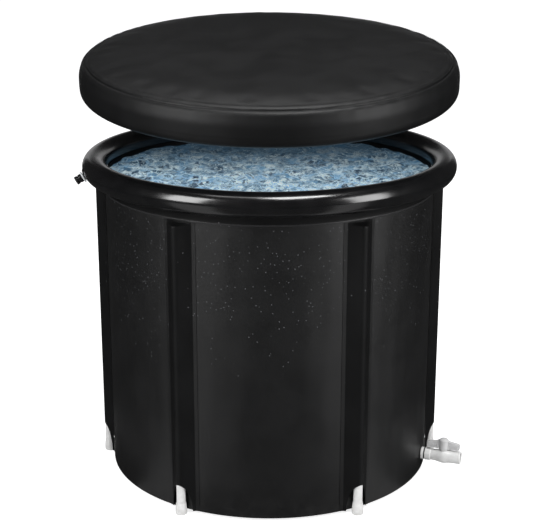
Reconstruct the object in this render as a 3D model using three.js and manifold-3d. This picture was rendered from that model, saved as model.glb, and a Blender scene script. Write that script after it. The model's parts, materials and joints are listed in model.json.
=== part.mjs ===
// Portable cold plunge tub: a soft insulated wall stood up by rods in welded pockets,
// an inflated ring as its rim, a ball valve to drain it and a padded lid lifted above it.
// Millimetres, +Z up, the floor at z = 0, the front towards -Y.
import * as THREE from "three";
import { mergeVertices } from "three/addons/utils/BufferGeometryUtils.js";
import Module from "manifold-3d";

const wasm = await Module();
wasm.setup();

// Fits
const GAP = 0.3; // between pieces that lie against each other
const RING_SEAT = 0.5; // between the inflated ring and what it rests on
const TURNING_FIT = 0.4; // around the valve stem
const CUT_PAST = 1; // how far a cutting tool runs past a face

// Tub wall and base
const BODY_DIAMETER = 750; // outside of the wall
const RIM_HEIGHT = 745; // floor to the top of the ring
const SKIN = 1; // outer fabric
const FOAM = 5; // insulation between the fabrics
const LINER = 1; // inner fabric, which holds the water
const HEM_HEIGHT = 8; // lower edge of the wall above the floor
const WALL_FLARE = 6; // how far the wall leans out under the ring
const FLARE_EASE = 0.25; // share of the flare reached half-way up
const BASE_PANEL = 1.2;
const BASE_RISE_WIDTH = 30; // from the wall to the edge of the flat underside
const BASE_LAP = 4.5; // base panel turned up inside the wall
const BASE_FOAM = 10;
const FLOOR_CORNER = 4; // where the liner's floor turns up

// Inflated ring and the collar that welds it to the wall
const RING_TUBE_DIAMETER = 55;
const RING_LEDGE = 3.4; // ring inside the liner's face
const COLLAR = 1.2;
const COLLAR_DROP = 24; // lower edge of the collar below the ring
const COLLAR_STRAIGHT = 4; // straight part of the collar below the flare

// Rods and their pockets
const LEG_COUNT = 6;
const FIRST_LEG_ANGLE = 30; // degrees from the front towards +X
const ROD_DIAMETER = 20;
const ROD_WALL = 2;
const FOOT_WALL = 2.4;
const FOOT_HEIGHT = 28;
const FOOT_FLOOR = 4;
const FOOT_EDGE = 1.5;
const PLUG_HEAD = 6;
const PLUG_DEPTH = 16;
const PLUG_EDGE = 2;
const POCKET_FABRIC = 1.2;
const POCKET_HALF_WIDTH = 30; // rod axis to the weld line
const POCKET_WELD = 8; // flat margin beyond the weld line
const NOTCH_TOP = 73; // arched opening at the foot of the pocket
const NOTCH_CLEARANCE = 0.8; // beside the rod's foot
const POCKET_CLOSING = 18; // height over which the pocket flattens at its top
const POCKET_CLOSED_SHARE = 0.08;

// Drain fitting through the wall
const DRAIN_ANGLE = 71.25; // degrees from the front towards +X, the middle of a facet
const DRAIN_HEIGHT = 46;
const NIPPLE_DIAMETER = 21;
const WATERWAY_DIAMETER = 13;
const HOLE_CLEARANCE = 0.8; // of the nipple in the fabrics
const FOAM_CLEARANCE = 3.5; // foam cut back beyond the locknut
const DRILL_LENGTH = 60; // longer than the wall is thick
const FLANGE_DIAMETER = 44;
const FLANGE = 4;
const WASHER = 1.6;
const LOCKNUT = 6;
const LOCKNUT_RIM = 4; // locknut beyond the nipple
const VALVE_WASHER = 2.5;
const VALVE_WASHER_RIM = 3;

// Ball valve
const VALVE_LENGTH = 84;
const SOCKET_DEPTH = 10; // nipple inside the valve
const BALL_SETBACK = 43; // inlet face to the ball's centre
const BALL_DIAMETER = 20;
const SEAT_RIM = 1.2; // seats and cavity beyond the ball
const SEAT_DEPTH = 5.4;
const RETAINER = 5;
const VALVE_WALL = 3.5;
const BULB_SWELL = 2; // swelling around the ball
const INLET_NUT_LENGTH = 13;
const INLET_NUT_SIDES = 8;
const NECK_SET_IN = 2;
const OUTLET_BEAD = 0.7;
const OUTLET_BEAD_LENGTH = 4;
const STEM_DIAMETER = 8;
const STEM_SLOT = 4;
const TANG_WIDTH = 6;
const STEM_SLOT_SHARE = 0.7; // of the ball's wall above its waterway
const BONNET_DIAMETER = 17;
const BONNET_RISE = 7; // above the swelling
const SEAL_SECTION = 2;
const SEAL_RECESS = 5;
const HANDLE_HALF_LENGTH = 38;
const HANDLE_THICKNESS = 8;
const HANDLE_CLEARANCE = 1.5; // above the swelling
const HANDLE_WING_HEIGHT = 17;
const HANDLE_TIP_DROP = 3.5;
const HANDLE_CORNER = 4;
const HUB_WALL = 1.8;
const HUB_CLEARANCE = 0.7;
const HUB_SKIRT = 1; // hub below the wings
const HUB_CROWN = 8; // hub above the wings
const HUB_DOME_STEPS = 3;
const HUB_GRIP = 8; // stem inside the hub

// Air valve on the ring
const AIR_VALVE_ANGLE = -78;
const AIR_VALVE_DROP = 30; // degrees below level
const AIR_PATCH = 1.4;
const AIR_PATCH_DIAMETER = 32;
const AIR_STEM_DIAMETER = 14;
const AIR_STEM_WALL = 2;
const AIR_STEM_DEPTH = 15; // inside the ring
const AIR_COLLAR_DIAMETER = 26;
const AIR_COLLAR = 3.4;
const AIR_FLAP = 1;
const AIR_PLUG_DEPTH = 12;
const AIR_KNOB_DIAMETER = 19;
const AIR_KNOB_LENGTH = 16.5;
const AIR_KNOB_FLUTES = 10;
const AIR_KNOB_FLUTE_DEPTH = 1.2;

// Padded lid, lifted and tipped by a turn about a level line in front of the tub
const LID_SET_IN = 3; // lid's edge inside the ring's outer edge
const LID_HEIGHT = 88;
const LID_SHOULDER = 45; // radius of the upper edge
const LID_LOWER_EDGE = 18; // radius of the lower edge
const LID_CROWN = 5; // rise of the middle
const LID_CROWN_STEP = 0.6; // share of the way out where the crown turns down
const LID_COVER = 1.2;
const LID_HEM = 14; // side band turned under the lid
const LID_SEAM_ANGLE = 48; // where the top panel meets the side band, on the shoulder
const LID_PIVOT_REACH = 1187; // tub's axis to the line that the lid turns about
const LID_LIFT_ANGLE = 6.7;

// Facets
const SIDES_PER_LEG = 8; // of the round body, with a corner at every leg
const RING_SIDES = 16;
const FITTING_SIDES = 20;
const ROD_SIDES = 12;
const BALL_RINGS = 12;

// Places worked out from the sizes
const ROUND_SIDES = LEG_COUNT * SIDES_PER_LEG;
const HALF_SIDE = Math.PI / ROUND_SIDES;
const BODY_RADIUS = BODY_DIAMETER / 2;
const RING_RADIUS = RING_TUBE_DIAMETER / 2;
const FOAM_DEPTH = SKIN + GAP;
const LINER_DEPTH = FOAM_DEPTH + FOAM + GAP;
const LINER_INSIDE = BODY_RADIUS - LINER_DEPTH - LINER;
const RING_CENTRE = LINER_INSIDE + WALL_FLARE - RING_LEDGE + RING_RADIUS;
const RING_Z = RIM_HEIGHT - RING_RADIUS;
const COLLAR_BOTTOM = RING_Z - RING_RADIUS - COLLAR_DROP;
const FLARE_START = COLLAR_BOTTOM + COLLAR_STRAIGHT;
const BASE_FOAM_Z = BASE_PANEL + GAP;
const LINER_FLOOR_Z = BASE_FOAM_Z + BASE_FOAM + GAP;
const ROD_RADIUS = ROD_DIAMETER / 2;
const FOOT_RADIUS = ROD_RADIUS + GAP + FOOT_WALL;
const ROD_CIRCLE = BODY_RADIUS + GAP + FOOT_RADIUS;
const POCKET_TOP = COLLAR_BOTTOM - GAP;
const PLUG_TOP = POCKET_TOP - POCKET_CLOSING - GAP;
const ROD_TOP = PLUG_TOP - PLUG_HEAD - GAP;
const NIPPLE_RADIUS = NIPPLE_DIAMETER / 2;
const WATERWAY_RADIUS = WATERWAY_DIAMETER / 2;
const BALL_RADIUS = BALL_DIAMETER / 2;
const CAVITY_RADIUS = BALL_RADIUS + SEAT_RIM + GAP;
const STEM_RADIUS = STEM_DIAMETER / 2;
const VALVE_RADIUS = CAVITY_RADIUS + VALVE_WALL;
const BULB_RADIUS = VALVE_RADIUS + BULB_SWELL;
const BONNET_TOP = BULB_RADIUS + BONNET_RISE; // heights from here are above the valve's axis
const HUB_BOTTOM = BULB_RADIUS + HANDLE_CLEARANCE;
const WING_BOTTOM = HUB_BOTTOM + HUB_SKIRT;
const WING_TOP = WING_BOTTOM + HANDLE_WING_HEIGHT;
const HUB_TOP = WING_TOP + HUB_CROWN;
const STEM_TOP = BONNET_TOP + HUB_CLEARANCE + HUB_GRIP;
const TANG_BOTTOM = BALL_RADIUS - (BALL_RADIUS - WATERWAY_RADIUS) * STEM_SLOT_SHARE;
const LID_RADIUS = RING_CENTRE + RING_RADIUS - LID_SET_IN;

const point = (x, y) => new THREE.Vector2(x, y);
const radians = THREE.MathUtils.degToRad;

// Points on a round stretch of an outline, angles in degrees
function arc(x, y, radius, from, to, steps) {
  return Array.from({ length: steps + 1 }, (_, i) => {
    const angle = radians(from + ((to - from) * i) / steps);
    return point(x + radius * Math.cos(angle), y + radius * Math.sin(angle));
  });
}

const leftOf = (from, to) => point(from.y - to.y, to.x - from.x).normalize();

// The path moved to its left by a depth, keeping its corners sharp
function inset(path, depth) {
  const last = path.length - 1;
  return path.map((here, i) => {
    const before = leftOf(path[Math.max(i - 1, 0)], path[Math.max(i, 1)]);
    const after = leftOf(path[Math.min(i, last - 1)], path[Math.min(i + 1, last)]);
    const middle = before.clone().add(after).normalize();
    const moved = here.clone().addScaledVector(middle, depth / middle.dot(before));
    return here.x === 0 ? point(0, moved.y) : moved;
  });
}

// Outline of a sheet whose outer face follows a path with the inside on its left
const sheet = (path, thickness) => [...path, ...inset(path, thickness).reverse()];

const rectangle = (inner, outer, bottom, top) => [
  point(inner, bottom),
  point(outer, bottom),
  point(outer, top),
  point(inner, top),
];

// Outline of a solid post or disc on the axis
const post = (radius, bottom, top) => rectangle(0, radius, bottom, top);

// Solid of revolution about Z: an outline that starts and ends on the axis, or a closed ring
function revolve(outline, sides, start = 0) {
  const path = [...outline];
  const onAxis = path[0].x === 0 && path.at(-1).x === 0;
  if (THREE.ShapeUtils.area(path) < 0) path.reverse();
  if (!onAxis) path.push(path[0].clone());
  return new THREE.LatheGeometry(path, sides, start).rotateX(Math.PI / 2);
}

// The large round pieces share their facets, so that they nest evenly
const revolveBody = (outline) => revolve(outline, ROUND_SIDES, radians(FIRST_LEG_ANGLE));

// The same about an axis that points outwards, along -Y
const revolveOutwards = (outline, sides) => revolve(outline, sides).rotateX(Math.PI / 2);

// Closed solid through outlines of as many points each, from the lowest up
function loft(sections) {
  const count = sections[0].length;
  const index = [];
  for (let level = 0; level < sections.length - 1; level++) {
    for (let i = 0; i < count; i++) {
      const a = level * count + i;
      const b = level * count + ((i + 1) % count);
      index.push(a, b, b + count, a, b + count, a + count);
    }
  }
  const capOf = (section) => THREE.ShapeUtils.triangulateShape(section.map((p) => point(p.x, p.y)), []);
  const top = (sections.length - 1) * count;
  for (const [a, b, c] of capOf(sections[0])) index.push(a, c, b);
  for (const [a, b, c] of capOf(sections.at(-1))) index.push(top + a, top + b, top + c);
  return new THREE.BufferGeometry().setFromPoints(sections.flat()).setIndex(index);
}

// Joining and cutting of closed geometry
function solid(geometry) {
  const bare = geometry.clone();
  for (const name of Object.keys(bare.attributes)) {
    if (name !== "position") bare.deleteAttribute(name);
  }
  const merged = mergeVertices(bare, 1e-4);
  const vertProperties = merged.attributes.position.array;
  const triVerts = new Uint32Array(merged.index.array);
  return new wasm.Manifold(new wasm.Mesh({ numProp: 3, vertProperties, triVerts }));
}

function geometryOf(made) {
  const { vertProperties, triVerts } = made.getMesh();
  return new THREE.BufferGeometry()
    .setAttribute("position", new THREE.BufferAttribute(vertProperties, 3))
    .setIndex(new THREE.BufferAttribute(triVerts, 1));
}

const cut = (geometry, ...tools) =>
  geometryOf(tools.reduce((made, tool) => made.subtract(solid(tool)), solid(geometry)));

const join = (...geometries) =>
  geometryOf(geometries.map(solid).reduce((made, next) => made.add(next)));

const overlap = (a, b) => geometryOf(solid(a).intersect(solid(b)));

// Materials: colour, roughness and metalness of each finish
const FINISHES = {
  blackFabric: { color: 0x17181a, roughness: 0.55, metalness: 0 },
  glossyVinyl: { color: 0x101113, roughness: 0.28, metalness: 0 },
  linerVinyl: { color: 0x1b1d20, roughness: 0.4, metalness: 0 },
  greyFoam: { color: 0x6d6f72, roughness: 0.9, metalness: 0 },
  whitePipe: { color: 0xe9e9e6, roughness: 0.35, metalness: 0 },
  greyLever: { color: 0xd3d4d4, roughness: 0.4, metalness: 0 },
  blackRubber: { color: 0x151515, roughness: 0.75, metalness: 0 },
  seatPlastic: { color: 0xf3f2ee, roughness: 0.3, metalness: 0 },
  clearVinyl: { color: 0xb9bdc0, roughness: 0.25, metalness: 0 },
};

function piece(parent, name, geometry, finish) {
  const shaped = geometry.index ? geometry.toNonIndexed() : geometry;
  shaped.computeVertexNormals();
  const mesh = new THREE.Mesh(shaped, new THREE.MeshStandardMaterial(FINISHES[finish]));
  mesh.name = name;
  parent.add(mesh);
  return mesh;
}

const tub = new THREE.Group();

function turnedGroup(angle, height = 0) {
  const group = new THREE.Group();
  group.rotation.z = radians(angle);
  group.position.z = height;
  tub.add(group);
  group.updateMatrixWorld(true);
  return group;
}

// Height of the seat under the ring's facets at a given radius
function underRing(radius) {
  const reach = RING_RADIUS * Math.cos(Math.PI / RING_SIDES) + RING_SEAT;
  const heights = [];
  for (let side = RING_SIDES / 2; side < RING_SIDES; side++) {
    const facing = ((2 * side + 1) * Math.PI) / RING_SIDES;
    heights.push((reach - (radius - RING_CENTRE) * Math.cos(facing)) / Math.sin(facing));
  }
  return RING_Z + Math.max(...heights);
}

// One face of the wall, at a depth inside the outer fabric, up to the ring
function wallFace(depth, bottom) {
  const radius = BODY_RADIUS - depth;
  const flareMiddle = (FLARE_START + RING_Z - RING_RADIUS) / 2;
  return [
    point(radius, bottom),
    point(radius, FLARE_START),
    point(radius + WALL_FLARE * FLARE_EASE, flareMiddle),
    point(radius + WALL_FLARE, underRing(radius + WALL_FLARE)),
  ];
}

function wallLayer(depth, thickness, bottom) {
  const topMiddle = BODY_RADIUS - depth - thickness / 2 + WALL_FLARE;
  return revolveBody([
    ...wallFace(depth, bottom),
    point(topMiddle, underRing(topMiddle)),
    ...wallFace(depth + thickness, bottom).reverse(),
  ]);
}

// Hole for the drain fitting through a layer of the wall
function drainHole(radius) {
  return new THREE.CylinderGeometry(radius, radius, DRILL_LENGTH, FITTING_SIDES)
    .translate(0, -BODY_RADIUS, 0)
    .rotateZ(radians(DRAIN_ANGLE))
    .translate(0, 0, DRAIN_HEIGHT);
}

// The part of a round piece between two legs, a gap short of its neighbours
function betweenLegs(geometry, number) {
  const half = 180 / LEG_COUNT;
  const reach = 2 * BODY_RADIUS;
  const tip = GAP / 2 / Math.sin(radians(half));
  const side = reach * Math.tan(radians(half));
  const wedge = new THREE.Shape([point(0, -tip), point(side, -tip - reach), point(-side, -tip - reach)]);
  const cutter = new THREE.ExtrudeGeometry(wedge, { depth: RIM_HEIGHT, bevelEnabled: false })
    .rotateZ(radians(FIRST_LEG_ANGLE + half * (2 * number - 1)));
  return overlap(geometry, cutter);
}

function addWall() {
  const hole = drainHole(NIPPLE_RADIUS + HOLE_CLEARANCE);
  const foamHole = drainHole(NIPPLE_RADIUS + LOCKNUT_RIM + FOAM_CLEARANCE);
  const baseLapTop = HEM_HEIGHT + BASE_LAP;
  const lapRadius = BODY_RADIUS - FOAM_DEPTH;
  const flatRadius = BODY_RADIUS - BASE_RISE_WIDTH;
  const basePath = [
    point(0, 0),
    point(flatRadius, 0),
    point(lapRadius, HEM_HEIGHT),
    point(lapRadius, baseLapTop),
  ];
  const liner = BODY_RADIUS - LINER_DEPTH;
  const linerPath = [
    point(0, LINER_FLOOR_Z),
    ...arc(liner - FLOOR_CORNER, LINER_FLOOR_Z + FLOOR_CORNER, FLOOR_CORNER, -90, 0, 2),
    ...wallFace(LINER_DEPTH, baseLapTop).slice(1),
  ];
  const padEdge = liner - FLOOR_CORNER;
  const padPath = inset(basePath.slice(0, 3), BASE_FOAM_Z);
  const padSlope = (padPath[2].y - padPath[1].y) / (padPath[2].x - padPath[1].x);
  const padOutline = [
    padPath[0],
    padPath[1],
    point(padEdge, padPath[1].y + padSlope * (padEdge - padPath[1].x)),
    point(padEdge, BASE_FOAM_Z + BASE_FOAM),
    point(0, BASE_FOAM_Z + BASE_FOAM),
  ];
  const foam = cut(wallLayer(FOAM_DEPTH, FOAM, baseLapTop + GAP), foamHole);
  piece(tub, "outer_skin", cut(wallLayer(0, SKIN, HEM_HEIGHT), hole), "blackFabric");
  for (let number = 1; number <= LEG_COUNT; number++) {
    piece(tub, `wall_foam_${number}`, betweenLegs(foam, number), "greyFoam");
  }
  piece(tub, "inner_liner", cut(revolveBody(sheet(linerPath, LINER)), hole), "linerVinyl");
  piece(tub, "base_panel", revolveBody(sheet(basePath, BASE_PANEL)), "blackFabric");
  piece(tub, "base_foam", revolveBody(padOutline), "greyFoam");
  piece(tub, "ring_collar", wallLayer(-GAP - COLLAR, COLLAR, COLLAR_BOTTOM), "glossyVinyl");
}

// The inflated ring, or a surface that stands off it
const ringTube = (standOff) =>
  revolveBody(arc(RING_CENTRE, RING_Z, RING_RADIUS + standOff, 0, 360, RING_SIDES).slice(1));

function addRing() {
  const valve = new THREE.Group();
  valve.position.set(0, -RING_CENTRE, RING_Z);
  valve.rotation.x = radians(AIR_VALVE_DROP);
  turnedGroup(AIR_VALVE_ANGLE).add(valve);
  valve.updateMatrixWorld(true);

  const stemRadius = AIR_STEM_DIAMETER / 2;
  const boreRadius = stemRadius - AIR_STEM_WALL;
  const stemInner = RING_RADIUS - AIR_STEM_DEPTH;
  const collarFrom = RING_RADIUS + AIR_PATCH + 2 * GAP;
  const collarTo = collarFrom + AIR_COLLAR;
  const flapOuter = stemInner - GAP;
  const rod = (radius, from, to) => revolveOutwards(post(radius, from, to), FITTING_SIDES);
  const onRing = (radius, from) => rod(radius, from, 2 * RING_RADIUS).applyMatrix4(valve.matrixWorld);

  const pocket = onRing(stemRadius + GAP, flapOuter - AIR_FLAP - GAP);
  const disc = onRing(AIR_PATCH_DIAMETER / 2, stemInner);
  const patch = cut(overlap(disc, ringTube(GAP + AIR_PATCH)), ringTube(GAP), pocket);
  piece(tub, "air_ring", cut(ringTube(0), pocket), "glossyVinyl");
  piece(tub, "air_valve_patch", patch, "glossyVinyl");

  const stemOutline = [
    point(boreRadius, stemInner),
    point(stemRadius, stemInner),
    point(stemRadius, collarFrom),
    point(AIR_COLLAR_DIAMETER / 2, collarFrom),
    point(AIR_COLLAR_DIAMETER / 2, collarTo),
    point(boreRadius, collarTo),
  ];
  piece(valve, "air_valve_stem", revolveOutwards(stemOutline, FITTING_SIDES), "clearVinyl");
  piece(valve, "air_valve_flap", rod(stemRadius, flapOuter - AIR_FLAP, flapOuter), "clearVinyl");

  // Push-in plug with a fluted knob
  const knob = new THREE.Shape(
    Array.from({ length: 2 * AIR_KNOB_FLUTES }, (_, i) => {
      const angle = (Math.PI * i) / AIR_KNOB_FLUTES;
      const radius = AIR_KNOB_DIAMETER / 2 - (i % 2) * AIR_KNOB_FLUTE_DEPTH;
      return point(radius * Math.cos(angle), radius * Math.sin(angle));
    }),
  );
  const knobFrom = collarTo + GAP;
  const knobBody = new THREE.ExtrudeGeometry(knob, { depth: AIR_KNOB_LENGTH, bevelEnabled: false })
    .translate(0, 0, knobFrom)
    .rotateX(Math.PI / 2);
  const shank = rod(boreRadius - GAP, collarTo - AIR_PLUG_DEPTH, knobFrom + AIR_KNOB_LENGTH / 2);
  piece(valve, "air_valve_plug", join(knobBody, shank), "blackRubber");
}

// Cross-section of a rod pocket: a strip drawn tight over the rod and welded flat on both sides,
// against the wall's facets on each side of the leg
function pocketSection(z, fullness) {
  const rodOut = ROD_CIRCLE - BODY_RADIUS;
  const wallDrop = (x) => {
    const sides = [1, 3, 5].map((odd) => odd * HALF_SIDE);
    const apothem = BODY_RADIUS * Math.cos(HALF_SIDE);
    const faces = sides.map((turn) => apothem / Math.cos(turn) - Math.abs(x) * Math.tan(turn));
    return Math.min(...faces) - BODY_RADIUS + GAP;
  };
  const face = (lift) => {
    const round = ROD_RADIUS + GAP + lift;
    const weldDrop = wallDrop(POCKET_HALF_WIDTH) + lift;
    const hemEnd = POCKET_HALF_WIDTH + POCKET_WELD;
    const reach = Math.hypot(POCKET_HALF_WIDTH, weldDrop - rodOut);
    const leaves = Math.atan2(weldDrop - rodOut, POCKET_HALF_WIDTH) + Math.acos(round / reach);
    const touch = THREE.MathUtils.radToDeg(leaves);
    const path = [
      point(hemEnd, wallDrop(hemEnd) + lift),
      point(POCKET_HALF_WIDTH, weldDrop),
      ...arc(0, rodOut, round, touch, 180 - touch, 4),
      point(-POCKET_HALF_WIDTH, weldDrop),
      point(-hemEnd, wallDrop(hemEnd) + lift),
    ];
    return path.map(({ x, y }) => {
      const flat = wallDrop(x) + lift;
      return new THREE.Vector3(x, -(BODY_RADIUS + flat + (y - flat) * fullness), z);
    });
  };
  return [...face(0), ...face(POCKET_FABRIC).reverse()];
}

// Arched opening in a pocket, through which the rod's foot shows
function footNotch() {
  const half = FOOT_RADIUS + NOTCH_CLEARANCE;
  const arch = [point(-half, 0), point(half, 0), ...arc(0, NOTCH_TOP - half, half, 0, 180, 6)];
  const outwards = { depth: ROD_CIRCLE + FOOT_RADIUS + POCKET_FABRIC, bevelEnabled: false };
  return new THREE.ExtrudeGeometry(new THREE.Shape(arch), outwards).rotateX(Math.PI / 2);
}

function addLeg(number) {
  const leg = turnedGroup(FIRST_LEG_ANGLE + ((number - 1) * 360) / LEG_COUNT);
  const boreRadius = ROD_RADIUS - ROD_WALL;
  const rodBottom = FOOT_FLOOR + GAP;
  const footOutline = [
    point(0, 0),
    point(FOOT_RADIUS - FOOT_EDGE, 0),
    point(FOOT_RADIUS, FOOT_EDGE),
    point(FOOT_RADIUS, FOOT_HEIGHT),
    point(ROD_RADIUS + GAP, FOOT_HEIGHT),
    point(ROD_RADIUS + GAP, FOOT_FLOOR),
    point(0, FOOT_FLOOR),
  ];
  const plugOutline = [
    point(0, ROD_TOP - PLUG_DEPTH),
    point(boreRadius - GAP, ROD_TOP - PLUG_DEPTH),
    point(boreRadius - GAP, ROD_TOP + GAP),
    point(ROD_RADIUS, ROD_TOP + GAP),
    point(ROD_RADIUS, PLUG_TOP - PLUG_EDGE),
    point(ROD_RADIUS - PLUG_EDGE, PLUG_TOP),
    point(0, PLUG_TOP),
  ];
  const rod = revolve(rectangle(boreRadius, ROD_RADIUS, rodBottom, ROD_TOP), ROD_SIDES);
  const pocket = loft([
    pocketSection(HEM_HEIGHT, 1),
    pocketSection(POCKET_TOP - POCKET_CLOSING, 1),
    pocketSection(POCKET_TOP, POCKET_CLOSED_SHARE),
  ]);
  piece(leg, `leg_pocket_${number}`, cut(pocket, footNotch()), "blackFabric");
  piece(leg, `support_rod_${number}`, rod, "whitePipe").position.y = -ROD_CIRCLE;
  piece(leg, `rod_foot_${number}`, revolve(footOutline, ROD_SIDES), "whitePipe").position.y = -ROD_CIRCLE;
  piece(leg, `rod_top_plug_${number}`, revolve(plugOutline, ROD_SIDES), "whitePipe").position.y = -ROD_CIRCLE;
}

// Distances of the drain's pieces from the tub's axis, from the inside out.
// The flange and washers seat on one flat facet, wider than they are.
const FLANGE_SEAT = LINER_INSIDE * Math.cos(HALF_SIDE) - GAP;
const INNER_WASHER_FROM = FLANGE_SEAT - WASHER;
const FLANGE_FROM = INNER_WASHER_FROM - GAP - FLANGE;
const OUTER_WASHER_FROM = BODY_RADIUS * Math.cos(HALF_SIDE) + GAP;
const LOCKNUT_FROM = OUTER_WASHER_FROM + WASHER + GAP;
const VALVE_WASHER_FROM = LOCKNUT_FROM + LOCKNUT + GAP;
const VALVE_FROM = VALVE_WASHER_FROM + VALVE_WASHER + GAP;
const VALVE_TO = VALVE_FROM + VALVE_LENGTH;
const BALL_AT = VALVE_FROM + BALL_SETBACK;
const SEAT_BACK = BALL_RADIUS + GAP; // seat's far face from the ball's centre
const NIPPLE_TO = VALVE_FROM + SOCKET_DEPTH - GAP;

function addDrainFitting(drain) {
  const ring = (name, from, thickness, outer, finish) =>
    piece(
      drain,
      name,
      revolveOutwards(rectangle(NIPPLE_RADIUS + GAP, outer, from, from + thickness), FITTING_SIDES),
      finish,
    );
  const bulkhead = [
    point(WATERWAY_RADIUS, FLANGE_FROM),
    point(FLANGE_DIAMETER / 2, FLANGE_FROM),
    point(FLANGE_DIAMETER / 2, FLANGE_FROM + FLANGE),
    point(NIPPLE_RADIUS, FLANGE_FROM + FLANGE),
    point(NIPPLE_RADIUS, NIPPLE_TO),
    point(WATERWAY_RADIUS, NIPPLE_TO),
  ];
  piece(drain, "drain_bulkhead", revolveOutwards(bulkhead, FITTING_SIDES), "whitePipe");
  ring("drain_inner_washer", INNER_WASHER_FROM, WASHER, FLANGE_DIAMETER / 2, "blackRubber");
  ring("drain_outer_washer", OUTER_WASHER_FROM, WASHER, NIPPLE_RADIUS + LOCKNUT_RIM, "blackRubber");
  ring("drain_locknut", LOCKNUT_FROM, LOCKNUT, NIPPLE_RADIUS + LOCKNUT_RIM, "whitePipe");
  ring("valve_washer", VALVE_WASHER_FROM, VALVE_WASHER, NIPPLE_RADIUS + VALVE_WASHER_RIM, "blackRubber");
}

// Casting of the valve, hollow from end to end with a bonnet for the stem
function valveBody() {
  const socket = NIPPLE_RADIUS + GAP;
  const outer = VALVE_RADIUS;
  const neck = outer - NECK_SET_IN;
  const bulbFrom = -THREE.MathUtils.radToDeg(Math.acos(neck / BULB_RADIUS));
  const bulbTo = THREE.MathUtils.radToDeg(Math.acos(outer / BULB_RADIUS));
  const nutEnd = VALVE_FROM + INLET_NUT_LENGTH;
  const casting = [
    point(0, VALVE_FROM),
    point(outer - OUTLET_BEAD, VALVE_FROM),
    point(outer - OUTLET_BEAD, nutEnd),
    point(neck, nutEnd + NECK_SET_IN),
    ...arc(0, BALL_AT, BULB_RADIUS, bulbFrom, bulbTo, 6),
    point(outer, VALVE_TO - OUTLET_BEAD_LENGTH),
    point(outer + OUTLET_BEAD, VALVE_TO - OUTLET_BEAD_LENGTH + OUTLET_BEAD),
    point(outer + OUTLET_BEAD, VALVE_TO),
    point(0, VALVE_TO),
  ];
  const cavityFrom = BALL_AT - SEAT_BACK - GAP;
  const waterway = [
    point(0, VALVE_FROM - CUT_PAST),
    point(socket, VALVE_FROM - CUT_PAST),
    point(socket, VALVE_FROM + SOCKET_DEPTH),
    point(WATERWAY_RADIUS, VALVE_FROM + SOCKET_DEPTH),
    point(WATERWAY_RADIUS, cavityFrom),
    point(CAVITY_RADIUS, cavityFrom),
    point(CAVITY_RADIUS, VALVE_TO + CUT_PAST),
    point(0, VALVE_TO + CUT_PAST),
  ];
  const nut = new THREE.CylinderGeometry(outer, outer, INLET_NUT_LENGTH - 2 * OUTLET_BEAD, INLET_NUT_SIDES)
    .rotateY(Math.PI / INLET_NUT_SIDES)
    .translate(0, -(VALVE_FROM + nutEnd) / 2, 0);
  const upright = (radius, from, to) =>
    revolve(post(radius, from, to), FITTING_SIDES).translate(0, -BALL_AT, 0);
  const recess = STEM_RADIUS + TURNING_FIT + SEAL_SECTION;
  return cut(
    join(
      revolveOutwards(casting, FITTING_SIDES),
      nut,
      upright(BONNET_DIAMETER / 2, CAVITY_RADIUS + 2 * GAP, BONNET_TOP),
    ),
    revolveOutwards(waterway, FITTING_SIDES),
    upright(STEM_RADIUS + TURNING_FIT, 0, BONNET_TOP + CUT_PAST),
    upright(recess + GAP, BONNET_TOP - SEAL_RECESS, BONNET_TOP + CUT_PAST),
  );
}

function valveBall() {
  const waterway = revolveOutwards(post(WATERWAY_RADIUS, -BALL_DIAMETER, BALL_DIAMETER), FITTING_SIDES);
  const slotDepth = BALL_RADIUS - TANG_BOTTOM;
  const slot = new THREE.BoxGeometry(STEM_SLOT + 2 * GAP, BALL_DIAMETER, 2 * slotDepth)
    .translate(0, 0, BALL_RADIUS);
  const sphere = new THREE.SphereGeometry(BALL_RADIUS, FITTING_SIDES, BALL_RINGS).rotateX(Math.PI / 2);
  return cut(sphere, waterway, slot);
}

// A seat ring, dished towards the ball, for the side that faces along sign
function valveSeat(sign) {
  const inner = WATERWAY_RADIUS + GAP;
  const outer = BALL_RADIUS + SEAT_RIM;
  const clear = BALL_RADIUS + GAP;
  const rimAt = SEAT_BACK - SEAT_DEPTH;
  const lip = Math.sqrt(clear ** 2 - rimAt ** 2);
  const outline = [
    point(inner, SEAT_BACK),
    point(inner, Math.sqrt(clear ** 2 - inner ** 2) + GAP),
    point(lip, rimAt + GAP),
    point(outer, rimAt + GAP),
    point(outer, SEAT_BACK),
  ];
  return revolveOutwards(outline.map(({ x, y }) => point(x, BALL_AT + sign * y)), FITTING_SIDES);
}

function valveStem() {
  const tangBottom = TANG_BOTTOM + GAP;
  const shaftBottom = BALL_RADIUS + GAP;
  const tangTop = shaftBottom + STEM_SLOT;
  const shaft = revolve(post(STEM_RADIUS, shaftBottom, STEM_TOP), FITTING_SIDES);
  const tang = new THREE.BoxGeometry(STEM_SLOT, TANG_WIDTH, tangTop - tangBottom)
    .translate(0, 0, (tangTop + tangBottom) / 2);
  return join(shaft, tang);
}

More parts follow.
